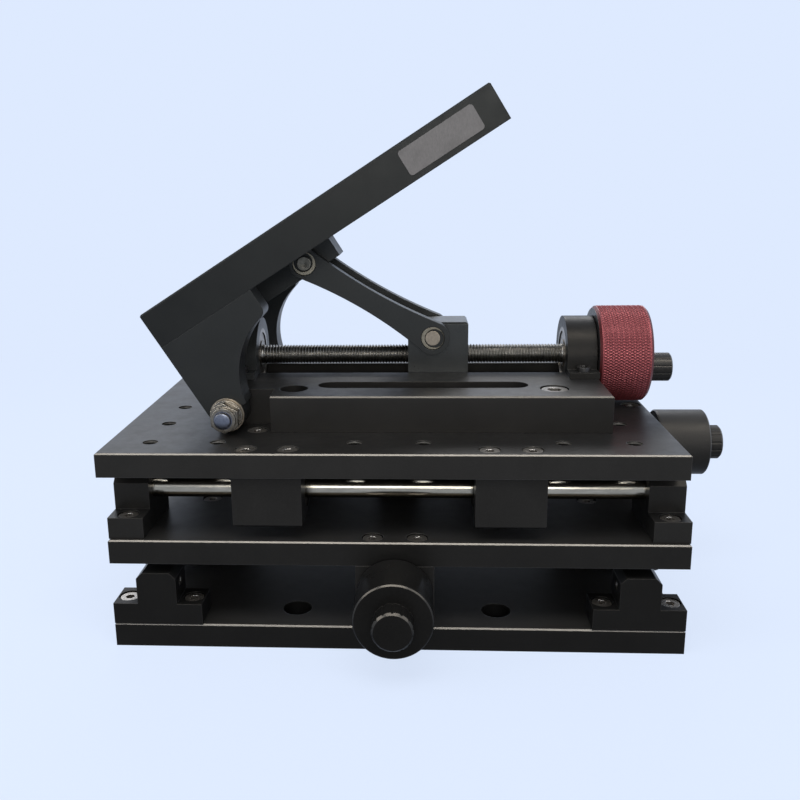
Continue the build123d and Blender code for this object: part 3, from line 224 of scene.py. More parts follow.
class Surface(Tree):
    """A new material and the nodes that lead to its Principled shader."""

    def __init__(self, name):
        self.material = bpy.data.materials.new(name)
        self.material.use_nodes = True
        super().__init__(self.material.node_tree)
        self.shader = self.tree.nodes["Principled BSDF"]
        place = self.add("ShaderNodeTexCoord")
        self.coordinates = place.outputs["Object"]
        self.own_normal = place.outputs["Normal"]

    def noise(self, scale, detail=3.0, roughness=0.55, stretch=None):
        """Noise in object space; scale is in cells per metre."""
        node = self.add("ShaderNodeTexNoise")
        node.inputs["Scale"].default_value = scale
        node.inputs["Detail"].default_value = detail
        node.inputs["Roughness"].default_value = roughness
        source = self.coordinates
        if stretch:
            mapping = self.add("ShaderNodeMapping")
            mapping.inputs["Scale"].default_value = stretch
            self.join(self.coordinates, mapping.inputs["Vector"])
            source = mapping.outputs["Vector"]
        self.join(source, node.inputs["Vector"])
        return node.outputs["Fac"]

    def span(self, value, low, high, start=0.3, end=0.7):
        """Map a value from start..end to low..high, held at both ends."""
        node = self.add("ShaderNodeMapRange")
        node.inputs["From Min"].default_value = start
        node.inputs["From Max"].default_value = end
        node.inputs["To Min"].default_value = low
        node.inputs["To Max"].default_value = high
        self.join(value, node.inputs["Value"])
        return node.outputs["Result"]

    def blend(self, factor, first, second):
        """A mix of two colours; each is a tuple or a socket."""
        node = self.add("ShaderNodeMix", data_type="RGBA")
        sockets = [s for s in node.inputs if s.name in ("A", "B") and s.type == "RGBA"]
        for socket, value in zip(sockets, (first, second)):
            if isinstance(value, tuple):
                socket.default_value = (*value, 1.0)
            else:
                self.join(value, socket)
        self.join(factor, node.inputs["Factor"])
        return [s for s in node.outputs if s.type == "RGBA"][0]

    def split(self, vector):
        """The X, Y and Z sockets of a vector."""
        node = self.add("ShaderNodeSeparateXYZ")
        self.join(vector, node.inputs[0])
        return node.outputs

    def facing(self, axis):
        """The own normal's part along an axis of the piece: signed for Z, its size for X and Y."""
        part = self.split(self.own_normal)[axis]
        if axis == "Z":
            return part
        size = self.add("ShaderNodeMath", operation="ABSOLUTE")
        self.join(part, size.inputs[0])
        return size.outputs["Value"]

    def top_faces(self, strength):
        """Strength on faces that look up, else 0."""
        return self.span(self.facing("Z"), 0.0, strength, *TOP_FACE)

    def bevel_share(self, axis, strength):
        """Strength on faces that slope between an axis and the plane across it, else 0."""
        along = self.facing(axis)
        rising = self.span(along, 0.0, strength, *BEVEL_RISE)
        falling = self.span(along, 1.0, 0.0, *BEVEL_FALL)
        return self.maths("MULTIPLY", rising, falling)

    def bare_glint_band(self, node):
        """1 on a band near the top of the walls of a plate's holes, else 0: the place of a painted
        glint of bare metal.
        """
        low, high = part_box(node)
        centre, half = (low + high) / 2, (high - low) / 2
        moved = self.add("ShaderNodeVectorMath", operation="SUBTRACT")
        self.join(self.coordinates, moved.inputs[0])
        moved.inputs[1].default_value = centre
        size = self.add("ShaderNodeVectorMath", operation="ABSOLUTE")
        self.join(moved.outputs["Vector"], size.inputs[0])
        place = self.split(size.outputs["Vector"])
        across, along = (self.span(place[i], 1.0, 0.0, half[i] - BAND_SIDES[0], half[i] - BAND_SIDES[1])
                         for i in (0, 1))
        height = self.split(moved.outputs["Vector"])["Z"]
        top = half.z - BAND_TOP
        bottom = top - BAND_HEIGHT
        above = self.span(height, 1.0, 0.0, top - BAND_FADE, top)
        below = self.span(height, 0.0, 1.0, bottom, bottom + BAND_FADE)
        inside = self.maths("MULTIPLY", across, along)
        return self.maths("MULTIPLY", inside, self.maths("MULTIPLY", above, below))

    def edge_nearness(self, radius, strength):
        """How near a point is to a sharp edge, from 0 to strength, and the rounded normal."""
        bevel = self.add("ShaderNodeBevel", samples=4)
        bevel.inputs["Radius"].default_value = radius
        geometry = self.add("ShaderNodeNewGeometry")
        dot = self.add("ShaderNodeVectorMath", operation="DOT_PRODUCT")
        self.join(bevel.outputs["Normal"], dot.inputs[0])
        self.join(geometry.outputs["Normal"], dot.inputs[1])
        return self.span(dot.outputs["Value"], strength, 0.0, *EDGE_RANGE), bevel.outputs["Normal"]

    def bump(self, height, distance, normal=None):
        node = self.add("ShaderNodeBump")
        node.inputs["Strength"].default_value = 1.0
        node.inputs["Distance"].default_value = distance
        self.join(height, node.inputs["Height"])
        if normal:
            self.join(normal, node.inputs["Normal"])
        return node.outputs["Normal"]

    def set(self, **values):
        """Set or link the shader's sockets by plain names, and return the material."""
        for key, value in values.items():
            socket = self.shader.inputs[SOCKETS[key]]
            if isinstance(value, (int, float)):
                socket.default_value = value
            elif isinstance(value, tuple):
                socket.default_value = (*value, 1.0)
            else:
                self.join(value, socket)
        return self.material


def scaled(colour, share):
    """A colour with each channel times a share."""
    return tuple(share * c for c in colour)


def anodised(name, tone, rough, specular, wear_and_highlight_colour, shine, bevels="", top_gloss=0.0, painted_top_light=0.0,
             hue=WARM_BLACK, grain=BLASTED, bored=""):
    """Black anodised aluminium: fine grain, soft tone changes and paler, shinier edges.

    wear_and_highlight_colour and shine are the colour and the gloss of the paler edges: wear on every
    edge, and a painted highlight on bevels. bevels is the axis that the bevels slope from; about Z only
    bevels that look up take it, and on a piece turned about X or Y only the side towards the light
    shows the paler edges, as a painted highlight. top_gloss raises the gloss of faces that look up,
    painted_top_light paints them lighter as painted light, and bored names a plate whose holes get
    a band of bare metal placed as a painted glint.
    """
    made = Surface(name)
    dark, light = (scaled(hue, share * tone) for share in TONE_SPREAD)
    cloud = made.noise(CLOUD_SCALE, 4.0, 0.6)
    speck = made.noise(SPECK_SCALE, 2.0, 0.7)
    smudge = made.noise(SMUDGE_SCALE, 5.0, 0.65)
    colour = made.blend(made.span(cloud, 0.0, 1.0), dark, light)
    colour = made.blend(made.span(speck, 0.0, SPECK_SHARE, *SPECK_RANGE), colour,
                        scaled(light, SPECK_BRIGHTER))
    # Faces that look up are painted a lighter tone: painted light
    if painted_top_light:
        colour = made.blend(made.top_faces(1.0), colour, scaled(hue, painted_top_light))
    wear_and_highlight_mask, smooth = made.edge_nearness(EDGE_RADIUS, EDGE_WEAR_AND_HIGHLIGHT)
    # Bevels that look up, or that slope from X or Y, get the paler colour as a painted highlight
    if bevels:
        wear_and_highlight_mask = made.maths("MAXIMUM", wear_and_highlight_mask, made.bevel_share(bevels, BEVEL_HIGHLIGHT))
    # On a piece turned about X or Y the paler edges are kept to the side towards the light: a painted
    # highlight
    if bevels in ("X", "Y"):
        lit = made.span(made.facing("Z"), 0.0, 1.0, *LIT_SIDE)
        wear_and_highlight_mask = made.maths("MULTIPLY", wear_and_highlight_mask, lit)
        gloss = made.maths("ADD", made.span(wear_and_highlight_mask, 0.0, shine, 0.0, BEVEL_HIGHLIGHT),
                           made.span(lit, SHADED_GLOSS * specular, specular, 0.0, 1.0))
    else:
        gloss = made.span(wear_and_highlight_mask, specular, specular + shine, 0.0, BEVEL_HIGHLIGHT)
    # Paler colour on the edges: wear, plus a painted highlight on the bevels and the lit side
    colour = made.blend(wear_and_highlight_mask, colour, scaled(WEAR_AND_HIGHLIGHT_HUE, wear_and_highlight_colour))
    if top_gloss:
        gloss = made.maths("ADD", gloss, made.top_faces(top_gloss))
    roughness = made.maths("MULTIPLY", made.span(smudge, *(rough + d for d in ROUGH_SPREAD)),
                           made.span(wear_and_highlight_mask, 1.0, WORN_ROUGHNESS, 0.0, BEVEL_HIGHLIGHT))
    metallic = 0.0
    if bored:
        # The holes' band is bare metal, placed and sized as a painted glint
        metallic = made.bare_glint_band(bored)
        colour = made.blend(metallic, colour, BARE_GLINT_WALL)
    return made.set(colour=colour, roughness=roughness, specular=gloss, tint=SHEEN[hue],
                    metallic=metallic, normal=made.bump(speck, grain, smooth))


def turned_metal(name, dark, light, rough, stretch, metallic=1.0, scratch=0.004 * MM, rim=1.0):
    """Turned or ground metal: fine lines along the tool's path, faint stains and bright rims.

    The lines run along the axes where stretch is small, and rim brightens the edges: wear and a painted
    highlight.
    """
    made = Surface(name)
    lines = made.noise(LINE_SCALE, 3.0, 0.6, stretch)
    stain = made.noise(STAIN_SCALE, 4.0, 0.6)
    colour = made.blend(made.span(lines, 0.0, 1.0), dark, light)
    colour = made.blend(made.span(stain, 0.0, STAIN_SHARE, *STAIN_RANGE), colour,
                        scaled(dark, STAIN_DARKER))
    wear_and_highlight_mask, smooth = made.edge_nearness(METAL_EDGE_RADIUS, METAL_EDGE_WEAR_AND_HIGHLIGHT)
    # Bright rims: wear and a painted highlight
    if rim > 1.0:
        colour = made.blend(wear_and_highlight_mask, colour, tuple(min(BRIGHTEST, c) for c in scaled(light, rim)))
    roughness = made.span(stain, *(rough + d for d in METAL_ROUGH_SPREAD))
    return made.set(colour=colour, roughness=roughness, metallic=metallic,
                    normal=made.bump(lines, scratch, smooth))


def knurled_metal(name, groove_shade, peak_highlight, node):
    """Coloured anodised knurl: painted shade in the grooves and a painted highlight on the peaks."""
    low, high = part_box(node)
    radius = (high.z - low.z) / 2
    made = Surface(name)
    from_axis = made.add("ShaderNodeMapping")
    from_axis.inputs["Location"].default_value = (0.0, 0.0, -(low.z + high.z) / 2)
    from_axis.inputs["Scale"].default_value = (0.0, 1.0, 1.0)
    made.join(made.coordinates, from_axis.inputs["Vector"])
    length = made.add("ShaderNodeVectorMath", operation="LENGTH")
    made.join(from_axis.outputs["Vector"], length.inputs[0])
    floor_radius = radius - KNURL_FLOOR * KNURL_DEPTH
    height = made.span(length.outputs["Value"], 0.0, 1.0, floor_radius, radius)
    stain = made.noise(120.0, 4.0, 0.6)
    # Painted shade in the grooves, painted highlight on the peaks
    colour = made.blend(height, groove_shade, peak_highlight)
    colour = made.blend(made.span(stain, 0.0, 0.3, *STAIN_RANGE), colour, groove_shade)
    return made.set(colour=colour, roughness=made.span(stain, 0.36, 0.46), metallic=0.55,
                    normal=made.bump(made.noise(1500.0, 3.0, 0.6), 0.002 * MM))


def nylon(name, dark, light):
    """Smooth moulded nylon with faint mottling."""
    made = Surface(name)
    tone = made.noise(700.0, 3.0, 0.5)
    return made.set(colour=made.blend(made.span(tone, 0.0, 1.0), dark, light),
                    roughness=made.span(tone, 0.38, 0.5),
                    normal=made.bump(made.noise(1800.0, 2.0), 0.01 * MM))


def label_foil(name, dark, light, rubbed):
    """Matt grey label stock: paper fibres, a faint rub and a slight sheen."""
    made = Surface(name)
    fibre = made.noise(2200.0, 4.0, 0.7, (1.0, 1.0, 0.35))
    rub = made.noise(160.0, 4.0, 0.6)
    colour = made.blend(made.span(fibre, 0.0, 1.0), dark, light)
    colour = made.blend(made.span(rub, 0.0, 0.5, 0.5, 0.75), colour, rubbed)
    return made.set(colour=colour, roughness=made.span(rub, 0.5, 0.62), specular=0.4,
                    normal=made.bump(fibre, 0.01 * MM))


# Tone, roughness, specular level, colour and shine of the paler edges (wear and painted highlight);
# then bevels, top gloss and painted top light
# The middle and bottom plates and the lower supports take darker copies of the same black: painted
# shade, darker towards the bottom
plate_black = anodised("plate_black", 0.0086, 0.36, 0.20, 0.14, 0.5, "Z", bored="top_plate")
middle_shaded_black = anodised("middle_shaded_black", 0.0064, 0.36, 0.14, 0.15, 0.5, "Z", 0.40, 0.0115)
bottom_shaded_black = anodised("bottom_shaded_black", 0.0046, 0.36, 0.10, 0.14, 0.5, "Z", 0.40, 0.0125)
low_support_shaded_black = anodised("low_support_shaded_black", 0.0044, 0.36, 0.10, 0.05, 0.3)
high_support_black = anodised("high_support_black", 0.0080, 0.36, 0.16, 0.05, 0.3)
block_black = anodised("block_black", 0.0092, 0.38, 0.13, 0.05, 0.2)
base_black = anodised("base_black", 0.0082, 0.36, 0.20, 0.055, 0.3, "Z", 0.12)
table_black = anodised("table_black", 0.0066, 0.38, 0.19, 0.02, 0.05, hue=COOL_BLACK)
cheek_black = anodised("cheek_black", 0.0097, 0.38, 0.22, 0.02, 0.05, hue=COOL_BLACK)
# A lighter copy of the black for the rear cheek, link bar and left housing, which sit in shade: painted
# fill light
painted_fill_black = anodised("painted_fill_black", 0.0260, 0.38, 0.22, 0.04, 0.05, hue=COOL_BLACK)
link_black = anodised("link_black", 0.0130, 0.38, 0.28, 0.04, 0.1, hue=COOL_BLACK)
front_knob_black = anodised("front_knob_black", 0.0062, 0.30, 0.12, 0.022, 0.35, "Y", grain=TURNED)
side_knob_black = anodised("side_knob_black", 0.0165, 0.42, 0.22, 0.08, 0.3, "X", grain=TURNED)
handle_black = anodised("handle_black", 0.0125, 0.30, 0.35, 0.08, 0.3, "X", grain=TURNED)
slider_black = anodised("slider_black", 0.0135, 0.30, 0.44, 0.10, 0.2, hue=COOL_BLACK, grain=TURNED)
red_metal = knurled_metal("red_metal", (0.085, 0.014, 0.015), (0.262, 0.050, 0.054), "tilt_knob")
# Darkest and lightest colour, roughness, stretch of the lines; then metallic, scratches and rim, the
# edges' brightening by wear and painted highlight
shaft_steel = turned_metal("shaft_steel", (0.26, 0.237, 0.191), (0.345, 0.311, 0.251), 0.16,
                           (0.15, 0.15, 1.0), 1.0, 0.001 * MM)
screw_black = turned_metal("screw_black", (0.187, 0.173, 0.158), (0.32, 0.298, 0.270), 0.28,
                           (1.0, 1.0, 0.2), 0.9, 0.003 * MM, 2.6)
bright_zinc = turned_metal("bright_zinc", (0.12, 0.104, 0.080), (0.21, 0.188, 0.155), 0.22,
                           (1.0, 0.2, 1.0), 1.0, 0.005 * MM, 2.2)
ring_steel = turned_metal("ring_steel", (0.135, 0.120, 0.099), (0.205, 0.182, 0.150), 0.30,
                          (0.2, 1.0, 1.0), 1.0, 0.003 * MM)
thread_steel = turned_metal("thread_steel", (0.16, 0.149, 0.130), (0.30, 0.282, 0.248), 0.30,
                            (0.25, 1.0, 1.0))
brass = turned_metal("brass", (0.20, 0.165, 0.120), (0.29, 0.240, 0.180), 0.30, (1.0, 0.25, 1.0))
# A darker copy of brass for the upper pin's end: painted shade
shaded_brass = turned_metal("shaded_brass", (0.085, 0.079, 0.063), (0.130, 0.120, 0.098), 0.34,
                          (1.0, 0.25, 1.0))
stud_blue = turned_metal("stud_blue", (0.100, 0.108, 0.132), (0.165, 0.176, 0.210), 0.24,
                         (1.0, 0.25, 1.0), 1.0, 0.002 * MM)
washer_steel = turned_metal("washer_steel", (0.150, 0.132, 0.098), (0.21, 0.186, 0.138), 0.34,
                            (1.0, 0.25, 1.0), 1.0, 0.003 * MM)
head_black = turned_metal("head_black", (0.035, 0.033, 0.031), (0.060, 0.057, 0.054), 0.32,
                          (1.0, 1.0, 0.2), 0.8, 0.003 * MM, 2.0)
blue_nylon = nylon("blue_nylon", (0.030, 0.036, 0.058), (0.045, 0.053, 0.082))
foil = label_foil("label_foil", (0.094, 0.089, 0.088), (0.126, 0.119, 0.117), (0.074, 0.071, 0.069))

by_slot = {"anodised_black": block_black, "ground_steel": shaft_steel, "dark_screw_steel": screw_black,
           "bright_steel": bright_zinc, "bearing_steel": ring_steel, "thread_steel": thread_steel,
           "brass": brass, "red_anodised": red_metal}
by_node = {"top_plate": plate_black, "middle_plate": middle_shaded_black, "bottom_plate": bottom_shaded_black,
           "tilt_base": base_black, "tilt_platform": table_black, "front_cheek": cheek_black,
           "rear_cheek": painted_fill_black, "link_bar": painted_fill_black, "left_housing": painted_fill_black,
           "y_knob": front_knob_black, "x_knob": side_knob_black, "crank_handle": handle_black,
           "slide_block": slider_black, "front_link": link_black, "rear_link": link_black,
           "housing_screws": head_black}
for name in nodes:
    if name.startswith("lower_support"):
        by_node[name] = low_support_shaded_black
    if name.startswith("upper_support"):
        by_node[name] = high_support_black


def dress(piece, material):
    """Give a piece one material in every slot."""
    if not piece.material_slots:
        piece.data.materials.append(material)
    for slot in piece.material_slots:
        slot.material = material


for name, piece in nodes.items():
    dress(piece, by_node.get(name, by_slot[slot_of[name]]))


def new_piece(name, mesh_data, material, body, replaced=()):
    """A named piece from vertices and faces that rides on a body."""
    mesh = bpy.data.meshes.new(name)
    mesh.from_pydata(*mesh_data)
    clean = bmesh.new()
    clean.from_mesh(mesh)
    bmesh.ops.remove_doubles(clean, verts=clean.verts, dist=WELD)
    bmesh.ops.dissolve_degenerate(clean, edges=clean.edges, dist=SLIVER)
    bmesh.ops.recalc_face_normals(clean, faces=clean.faces)
    clean.to_mesh(mesh)
    clean.free()
    mesh.polygons.foreach_set("use_smooth", [True] * len(mesh.polygons))
    mesh.set_sharp_from_angle(angle=SHARP_ANGLE)
    piece = bpy.data.objects.new(name, mesh)
    bpy.context.scene.collection.objects.link(piece)
    dress(piece, material)
    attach(piece, body)
    if replaced:
        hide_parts(*replaced)
    return piece


def ring_grid(rings, sides):
    """Vertices and faces of a closed skin through rings of points, capped at both ends."""
    verts = [point for ring in rings for point in ring]
    faces = []
    for i in range(len(rings) - 1):
        for j in range(sides):
            k = (j + 1) % sides
            faces.append((i * sides + j, i * sides + k, (i + 1) * sides + k, (i + 1) * sides + j))
    last = (len(rings) - 1) * sides
    faces.append(tuple(range(sides)))
    faces.append(tuple(last + j for j in range(sides)))
    return verts, [], faces


def axis_point(axis, centre, along, radius, angle):
    """A point round an axis through centre: along it, at a radius and an angle."""
    across = radius * math.cos(angle)
    up = radius * math.sin(angle)
    if axis == "X":
        return (along, centre[1] + across, centre[2] + up)
    return (centre[0] + across, along, centre[2] + up)


def circle(axis, centre, along, radius, sides):
    """A ring of points round an axis through centre."""
    return [axis_point(axis, centre, along, radius, 2 * math.pi * j / sides) for j in range(sides)]


def thread_shape(phase):
    """Depth of the thread from 0 at a crest to 1 at a root."""
    rise = abs(2.0 * (phase % 1.0) - 1.0)
    return min(1.0, max(0.0, (rise - THREAD_CREST) / THREAD_FLANK))


def smooth_step(value):
    """0 to 1 for a value from 0 to 1, level at both ends."""
    value = min(1.0, max(0.0, value))
    return value * value * (3.0 - 2.0 * value)


def helix_grid(rings, sides, hand):
    """Skin through rings that follow a helix, so the last side joins the next turn."""
    verts, _, faces = ring_grid(rings, sides)
    first, last = 2, len(rings) - 3
    kept = []
    for face in faces:
        if len(face) == 4:
            i, j = divmod(face[0], sides)
            if first <= i < last and j == sides - 1:
                shift = int(hand) * STEPS_PER_PITCH
                a = min(max(i + shift, first), last)
                b = min(max(i + 1 + shift, first), last)
                face = (face[0], a * sides, b * sides, face[3])
        kept.append(face)
    return verts, [], kept


def threaded_rod(name, node, axis, threads, body):
    """A lead screw in place of a plain node: journals and a rolled right-hand thread."""
    low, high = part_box(node)
    centre = (low + high) / 2
    index = "XY".index(axis)
    start, end = low[index], high[index]
    inner = THREAD_RADIUS - JOURNAL_CHAMFER
    rings = [circle(axis, centre, start, inner, THREAD_SIDES),
             circle(axis, centre, start + JOURNAL_CHAMFER, THREAD_RADIUS, THREAD_SIDES)]
    turns = int((threads[1] - threads[0]) / THREAD_PITCH) + 2
    hand = 1.0 if axis == "X" else -1.0
    for i in range(turns * STEPS_PER_PITCH + 1):
        ring = []
        for j in range(THREAD_SIDES):
            turn = i / STEPS_PER_PITCH - 1 + hand * j / THREAD_SIDES
            along = min(threads[1], max(threads[0], threads[0] + THREAD_PITCH * turn))
            edge = min(along - threads[0], threads[1] - along) / THREAD_PITCH
            depth = THREAD_DEPTH * thread_shape(i / STEPS_PER_PITCH) * smooth_step(edge)
            angle = 2 * math.pi * j / THREAD_SIDES
            ring.append(axis_point(axis, centre, along, THREAD_RADIUS - depth, angle))
        rings.append(ring)
    rings += [circle(axis, centre, end - JOURNAL_CHAMFER, THREAD_RADIUS, THREAD_SIDES),
              circle(axis, centre, end, inner, THREAD_SIDES)]
    skin = helix_grid(rings, THREAD_SIDES, hand)
    return new_piece(name, skin, thread_steel, body, [node])


def knurl_height(around, along):
    """Height of a diamond knurl from 0 in a groove to 1 on a peak's small flat."""
    peaks = [1.0 - abs(2.0 * (value % 1.0) - 1.0) for value in (around + along, around - along)]
    return min(1.0, KNURL_FLAT * min(peaks))


def knurled_knob(name, node, material, body):
    """The large knob: hub, chamfered rims, diamond knurl and a bored outer face."""
    low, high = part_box(node)
    radius = (high.z - low.z) / 2
    centre = (0.0, 0.0, (low.z + high.z) / 2)
    sides = KNURL_COUNT * KNURL_STEPS
    hub_radius, chamfer, rim = 8.0 * MM, 1.0 * MM, 0.1 * MM
    bore, bore_chamfer, bore_depth = 4.0 * MM, 0.3 * MM, 8.5 * MM
    left, face = low.x + KNOB_STANDOFF, high.x

    def plain(along, size):
        return circle("X", centre, along, size, sides)

    rings = [plain(low.x, hub_radius - rim), plain(low.x + rim, hub_radius),
             plain(left, hub_radius), plain(left, radius - chamfer - rim),
             plain(left + rim, radius - chamfer)]
    start, end = left + chamfer, face - chamfer
    rows = round((end - start) / KNURL_PITCH * KNURL_STEPS)
    step = (end - start) / rows
    for i in range(rows + 1):
        along = start + i * step
        edge = smooth_step(min(i, rows - i) / KNURL_MARGIN_STEPS)
        ring = []
        for j in range(sides):
            height = knurl_height(j / KNURL_STEPS, i / KNURL_STEPS)
            size = radius - KNURL_DEPTH * (1.0 - height) * edge - KNURL_MARGIN_DEPTH * (1.0 - edge)
            ring.append(axis_point("X", centre, along, size, 2 * math.pi * j / sides))
        rings.append(ring)
    rings += [plain(face - rim, radius - chamfer), plain(face, radius - chamfer - rim),
              plain(face, bore + bore_chamfer), plain(face - bore_chamfer, bore),
              plain(face - bore_depth, bore)]
    piece = new_piece(name, ring_grid(rings, sides), material, body, [node])
    piece.data.materials.append(handle_black)
    for polygon in piece.data.polygons:
        if polygon.center.x < left + rim:
            polygon.material_index = 1
    return piece


def table_point(along, across, normal):
    """A point given along, across and above the table's hinge, in the frame at rest."""
    return (HINGE.x + along * math.cos(TILT) - normal * math.sin(TILT), across,
            HINGE.z + along * math.sin(TILT) + normal * math.cos(TILT))


def blank_label():
    """A bare label with rounded corners on the table's front edge."""
    left, right, bottom, top = 104.6 * MM, 134.8 * MM, 36.3 * MM, 45.9 * MM
    round_corner, thickness, rim = 1.2 * MM, 0.16 * MM, 0.05 * MM
    steps = 8
    corners = [(right, top, 0.0), (left, top, 90.0), (left, bottom, 180.0), (right, bottom, 270.0)]

    def outline(inset, across):
        points = []
        size = round_corner - inset
        for x, z, turn in corners:
            cx = x - math.copysign(round_corner, x - (left + right) / 2)
            cz = z - math.copysign(round_corner, z - (bottom + top) / 2)
            for i in range(steps + 1):
                angle = math.radians(turn + 90.0 * i / steps)
                points.append(table_point(cx + size * math.cos(angle), across,
                                          cz + size * math.sin(angle)))
        return points

    front = TABLE_FRONT - thickness
    rings = [outline(0.0, TABLE_FRONT), outline(0.0, front + rim), outline(rim, front)]
    skin = ring_grid(rings, 4 * (steps + 1))
    return new_piece("table_label", skin, foil, "table")


def outer_face(node, side):
    """Where a node ends along Y on one side."""
    low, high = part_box(node)
    return high.y if side > 0 else low.y


def turned_ring(name, centre, profile, material, body):
    """A ring about an axis along Y: its profile is a loop of places along Y, radii and shifts."""
    verts, faces = [], []
    for along, size, *shift in profile:
        middle = centre + shift[0] if shift else centre
        verts += circle("Y", middle, along, size, ROUND_SIDES)
    count = len(profile)
    for i in range(count):
        n = (i + 1) % count
        for j in range(ROUND_SIDES):
            k = (j + 1) % ROUND_SIDES
            faces.append((i * ROUND_SIDES + j, i * ROUND_SIDES + k,
                          n * ROUND_SIDES + k, n * ROUND_SIDES + j))
    return new_piece(name, (verts, [], faces), material, body)


def turned_plug(name, centre, profile, material, body):
    """A solid about an axis along Y: its profile is a row of places along Y and radii."""
    rings = [circle("Y", centre, along, size, ROUND_SIDES) for along, size in profile]
    return new_piece(name, ring_grid(rings, ROUND_SIDES), material, body)


def lock_nut_ring(place, side):
    """The nylon ring in the collar of a hinge's lock nut."""
    collar_depth, sunk = 1.6 * MM, 0.3 * MM
    outer, inner, proud = 3.5 * MM, 3.0 * MM, 0.12 * MM
    face = outer_face("hinge_fasteners", side) - side * collar_depth
    profile = [(face - side * sunk, outer), (face + side * 0.6 * proud, outer),
               (face + side * proud, outer - 0.15 * MM), (face + side * proud, inner + 0.12 * MM),
               (face + side * 0.5 * proud, inner + 0.02 * MM), (face - side * sunk, inner + 0.02 * MM)]
    turned_ring(f"{place}_nut_ring", HINGE, profile, blue_nylon, "x_carriage")


def stud_end(place, side):
    """The polished, slightly domed end of a hinge stud."""
    end = outer_face("hinge_fasteners", side)
    radius, height, sunk = 2.97 * MM, 0.35 * MM, 0.5 * MM
    steps = 8
    profile = [(end - side * sunk, radius), (end, radius)]
    for i in range(1, steps):
        angle = math.pi / 2 * i / steps
        profile.append((end + side * height * math.sin(angle), radius * math.cos(angle)))
    turned_plug(f"{place}_stud_end", HINGE, profile, stud_blue, "x_carriage")


def pin_centre(end):
    """The axis of the upper or the lower link pin."""
    if end == "upper":
        return Vector(table_point(UPPER_PIN[0], 0.0, UPPER_PIN[1]))
    low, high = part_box("block_pin")
    return (low + high) / 2


def pin_end(place, side):
    """The rimmed end of the upper link pin, in the counterbore of one link, in a darker brass as
    painted shade.
    """
    face = outer_face(f"{place}_link", side)
    radius, proud, rim, sunk = 3.06 * MM, 0.12 * MM, 0.35 * MM, 1.0 * MM
    profile = [(face - side * sunk, radius), (face + side * (proud - rim), radius),
               (face + side * proud, radius - rim), (face + side * proud, 0.40 * radius),
               (face + side * (proud - 0.3 * rim), 0.25 * radius)]
    turned_plug(f"{place}_pin_end", pin_centre("upper"), profile, shaded_brass, "links")


def pin_washer(place, side, end):
    """A bright washer on the floor of a link's counterbore, its hole off centre so that the wide side
    shows as a bright crescent where light falls: a painted highlight.
    """
    turn = math.radians(WASHER_TURN[end])
    shift = Vector((math.cos(turn), 0.0, math.sin(turn))) * WASHER_SHIFT
    outer, inner, deep, thick, rim = 4.72 * MM, 3.78 * MM, 1.15 * MM, 0.45 * MM, 0.12 * MM
    seat = outer_face(f"{place}_link", side) - side * deep
    profile = [(seat, outer), (seat + side * (thick - rim), outer),
               (seat + side * thick, outer - rim), (seat + side * thick, inner + rim, shift),
               (seat + side * (thick - rim), inner, shift), (seat, inner, shift)]
    turned_ring(f"{end}_{place}_washer", pin_centre(end), profile, washer_steel, "links")


threaded_rod("tilt_thread", "tilt_lead_screw", "X", TILT_THREAD, "tilt_screw")
upper_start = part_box("upper_lead_screw")[0].x + JOURNAL
threaded_rod("upper_thread", "upper_lead_screw", "X", (upper_start, UPPER_THREAD_END), "x_screw")
lower_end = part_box("lower_lead_screw")[1].y - JOURNAL
threaded_rod("lower_thread", "lower_lead_screw", "Y", (LOWER_THREAD_START, lower_end), "y_screw")
knurled_knob("knurled_knob", "tilt_knob", red_metal, "tilt_screw")
blank_label()
for place, side in SIDES.items():
    lock_nut_ring(place, side)
    stud_end(place, side)
    pin_end(place, side)
    for end in ("upper", "lower"):
        pin_washer(place, side, end)


def camera():
    """The photograph's camera."""
    data = bpy.data.cameras.new("camera")
    data.sensor_width = SENSOR_WIDTH
    data.lens = FOCAL_PIXELS / FRAME_PIXELS * SENSOR_WIDTH
    data.shift_x = (FRAME_PIXELS / 2 - CENTRE_PIXELS[0]) / FRAME_PIXELS
    data.shift_y = (CENTRE_PIXELS[1] - FRAME_PIXELS / 2) / FRAME_PIXELS
    data.clip_start = 0.01
    data.clip_end = 50.0
    ahead = Vector((math.sin(CAMERA_YAW) * math.cos(CAMERA_DOWN),
                    math.cos(CAMERA_YAW) * math.cos(CAMERA_DOWN), -math.sin(CAMERA_DOWN)))
    right = Vector((math.cos(CAMERA_YAW), -math.sin(CAMERA_YAW), 0.0))
    up = right.cross(ahead)
    side = right * math.cos(CAMERA_ROLL) + up * math.sin(CAMERA_ROLL)
    top = up * math.cos(CAMERA_ROLL) - right * math.sin(CAMERA_ROLL)
    place = Matrix.Identity(4)
    for i in range(3):
        place[i][0], place[i][1], place[i][2], place[i][3] = side[i], top[i], -ahead[i], CAMERA_PLACE[i]
    piece = bpy.data.objects.new("camera", data)
    piece.matrix_world = place
    bpy.context.scene.collection.objects.link(piece)
    bpy.context.scene.camera = piece


def backdrop():
    """World: the pale backdrop for what is seen or mirrored, a dimmer one for light."""
    world = bpy.data.worlds.new("studio")
    bpy.context.scene.world = world
    world.use_nodes = True
    world.node_tree.nodes.clear()
    made = Tree(world.node_tree)
    seen = made.source("ShaderNodeBackground", BACKDROP)
    light = made.source("ShaderNodeBackground", WORLD_LIGHT_COLOUR, WORLD_LIGHT)
    output = made.add("ShaderNodeOutputWorld")
    made.join(made.mix_shaders(made.seen_share(), light, seen), output.inputs["Surface"])


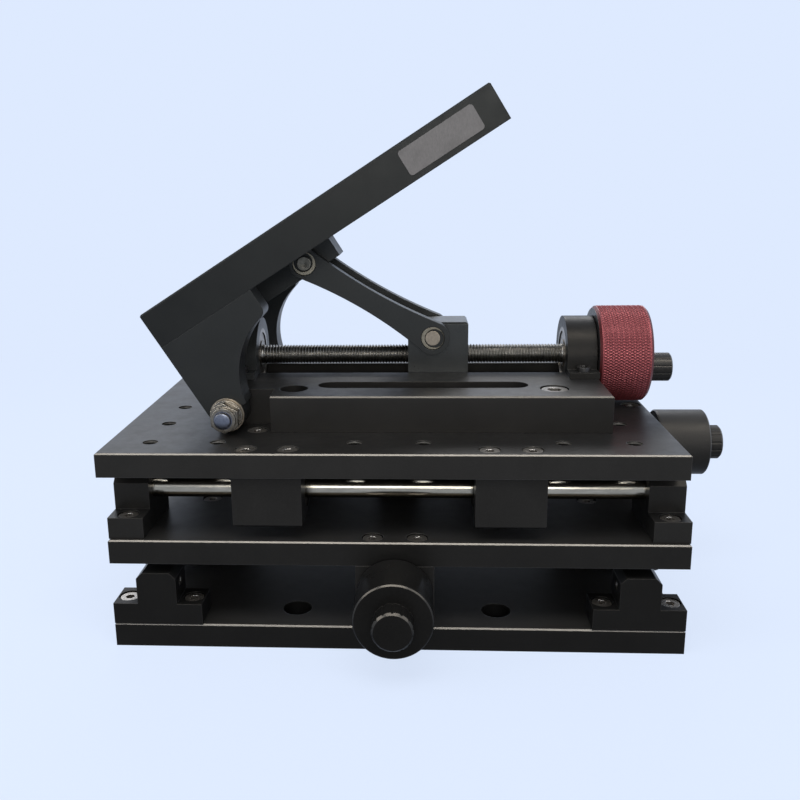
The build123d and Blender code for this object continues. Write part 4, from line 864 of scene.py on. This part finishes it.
def floor():
    """A pale floor of the backdrop's colour that takes the object's soft shadow."""
    corners = [(-FLOOR_HALF, -FLOOR_HALF, 0), (FLOOR_HALF, -FLOOR_HALF, 0),
               (FLOOR_HALF, FLOOR_HALF, 0), (-FLOOR_HALF, FLOOR_HALF, 0)]
    mesh = bpy.data.meshes.new("floor")
    mesh.from_pydata(corners, [], [(0, 1, 2, 3)])
    piece = bpy.data.objects.new("floor", mesh)
    bpy.context.scene.collection.objects.link(piece)
    material = bpy.data.materials.new("floor")
    material.use_nodes = True
    material.node_tree.nodes.clear()
    made = Tree(material.node_tree)
    near = made.add("ShaderNodeAddShader")
    made.join(made.source("ShaderNodeEmission", BACKDROP, FLOOR_GLOW), near.inputs[0])
    made.join(made.source("ShaderNodeBsdfDiffuse", scaled(BACKDROP, FLOOR_MATT)), near.inputs[1])
    far = made.source("ShaderNodeEmission", BACKDROP)
    length = made.add("ShaderNodeVectorMath", operation="LENGTH")
    made.join(made.add("ShaderNodeTexCoord").outputs["Object"], length.inputs[0])
    fade = made.add("ShaderNodeMapRange", interpolation_type="SMOOTHSTEP")
    fade.inputs["From Min"].default_value, fade.inputs["From Max"].default_value = FLOOR_FADE
    made.join(length.outputs["Value"], fade.inputs["Value"])
    seen = made.mix_shaders(fade.outputs["Result"], near.outputs[0], far)
    bounce = made.source("ShaderNodeBsdfDiffuse", scaled(BACKDROP, FLOOR_BOUNCE))
    output = made.add("ShaderNodeOutputMaterial")
    made.join(made.mix_shaders(made.seen_share(), bounce, seen), output.inputs["Surface"])
    dress(piece, material)


def lamp(name, place, size, power, colour):
    """A soft rectangular lamp that looks at the object."""
    data = bpy.data.lights.new(name, "AREA")
    data.shape = "RECTANGLE"
    data.size, data.size_y = size
    data.energy = power
    data.color = colour
    piece = bpy.data.objects.new(name, data)
    piece.location = place
    piece.rotation_euler = (LAMP_TARGET - Vector(place)).to_track_quat("-Z", "Y").to_euler()
    bpy.context.scene.collection.objects.link(piece)


camera()
backdrop()
floor()
for row in LAMPS:
    lamp(*row)

bpy.context.scene.view_settings.view_transform = "Standard"
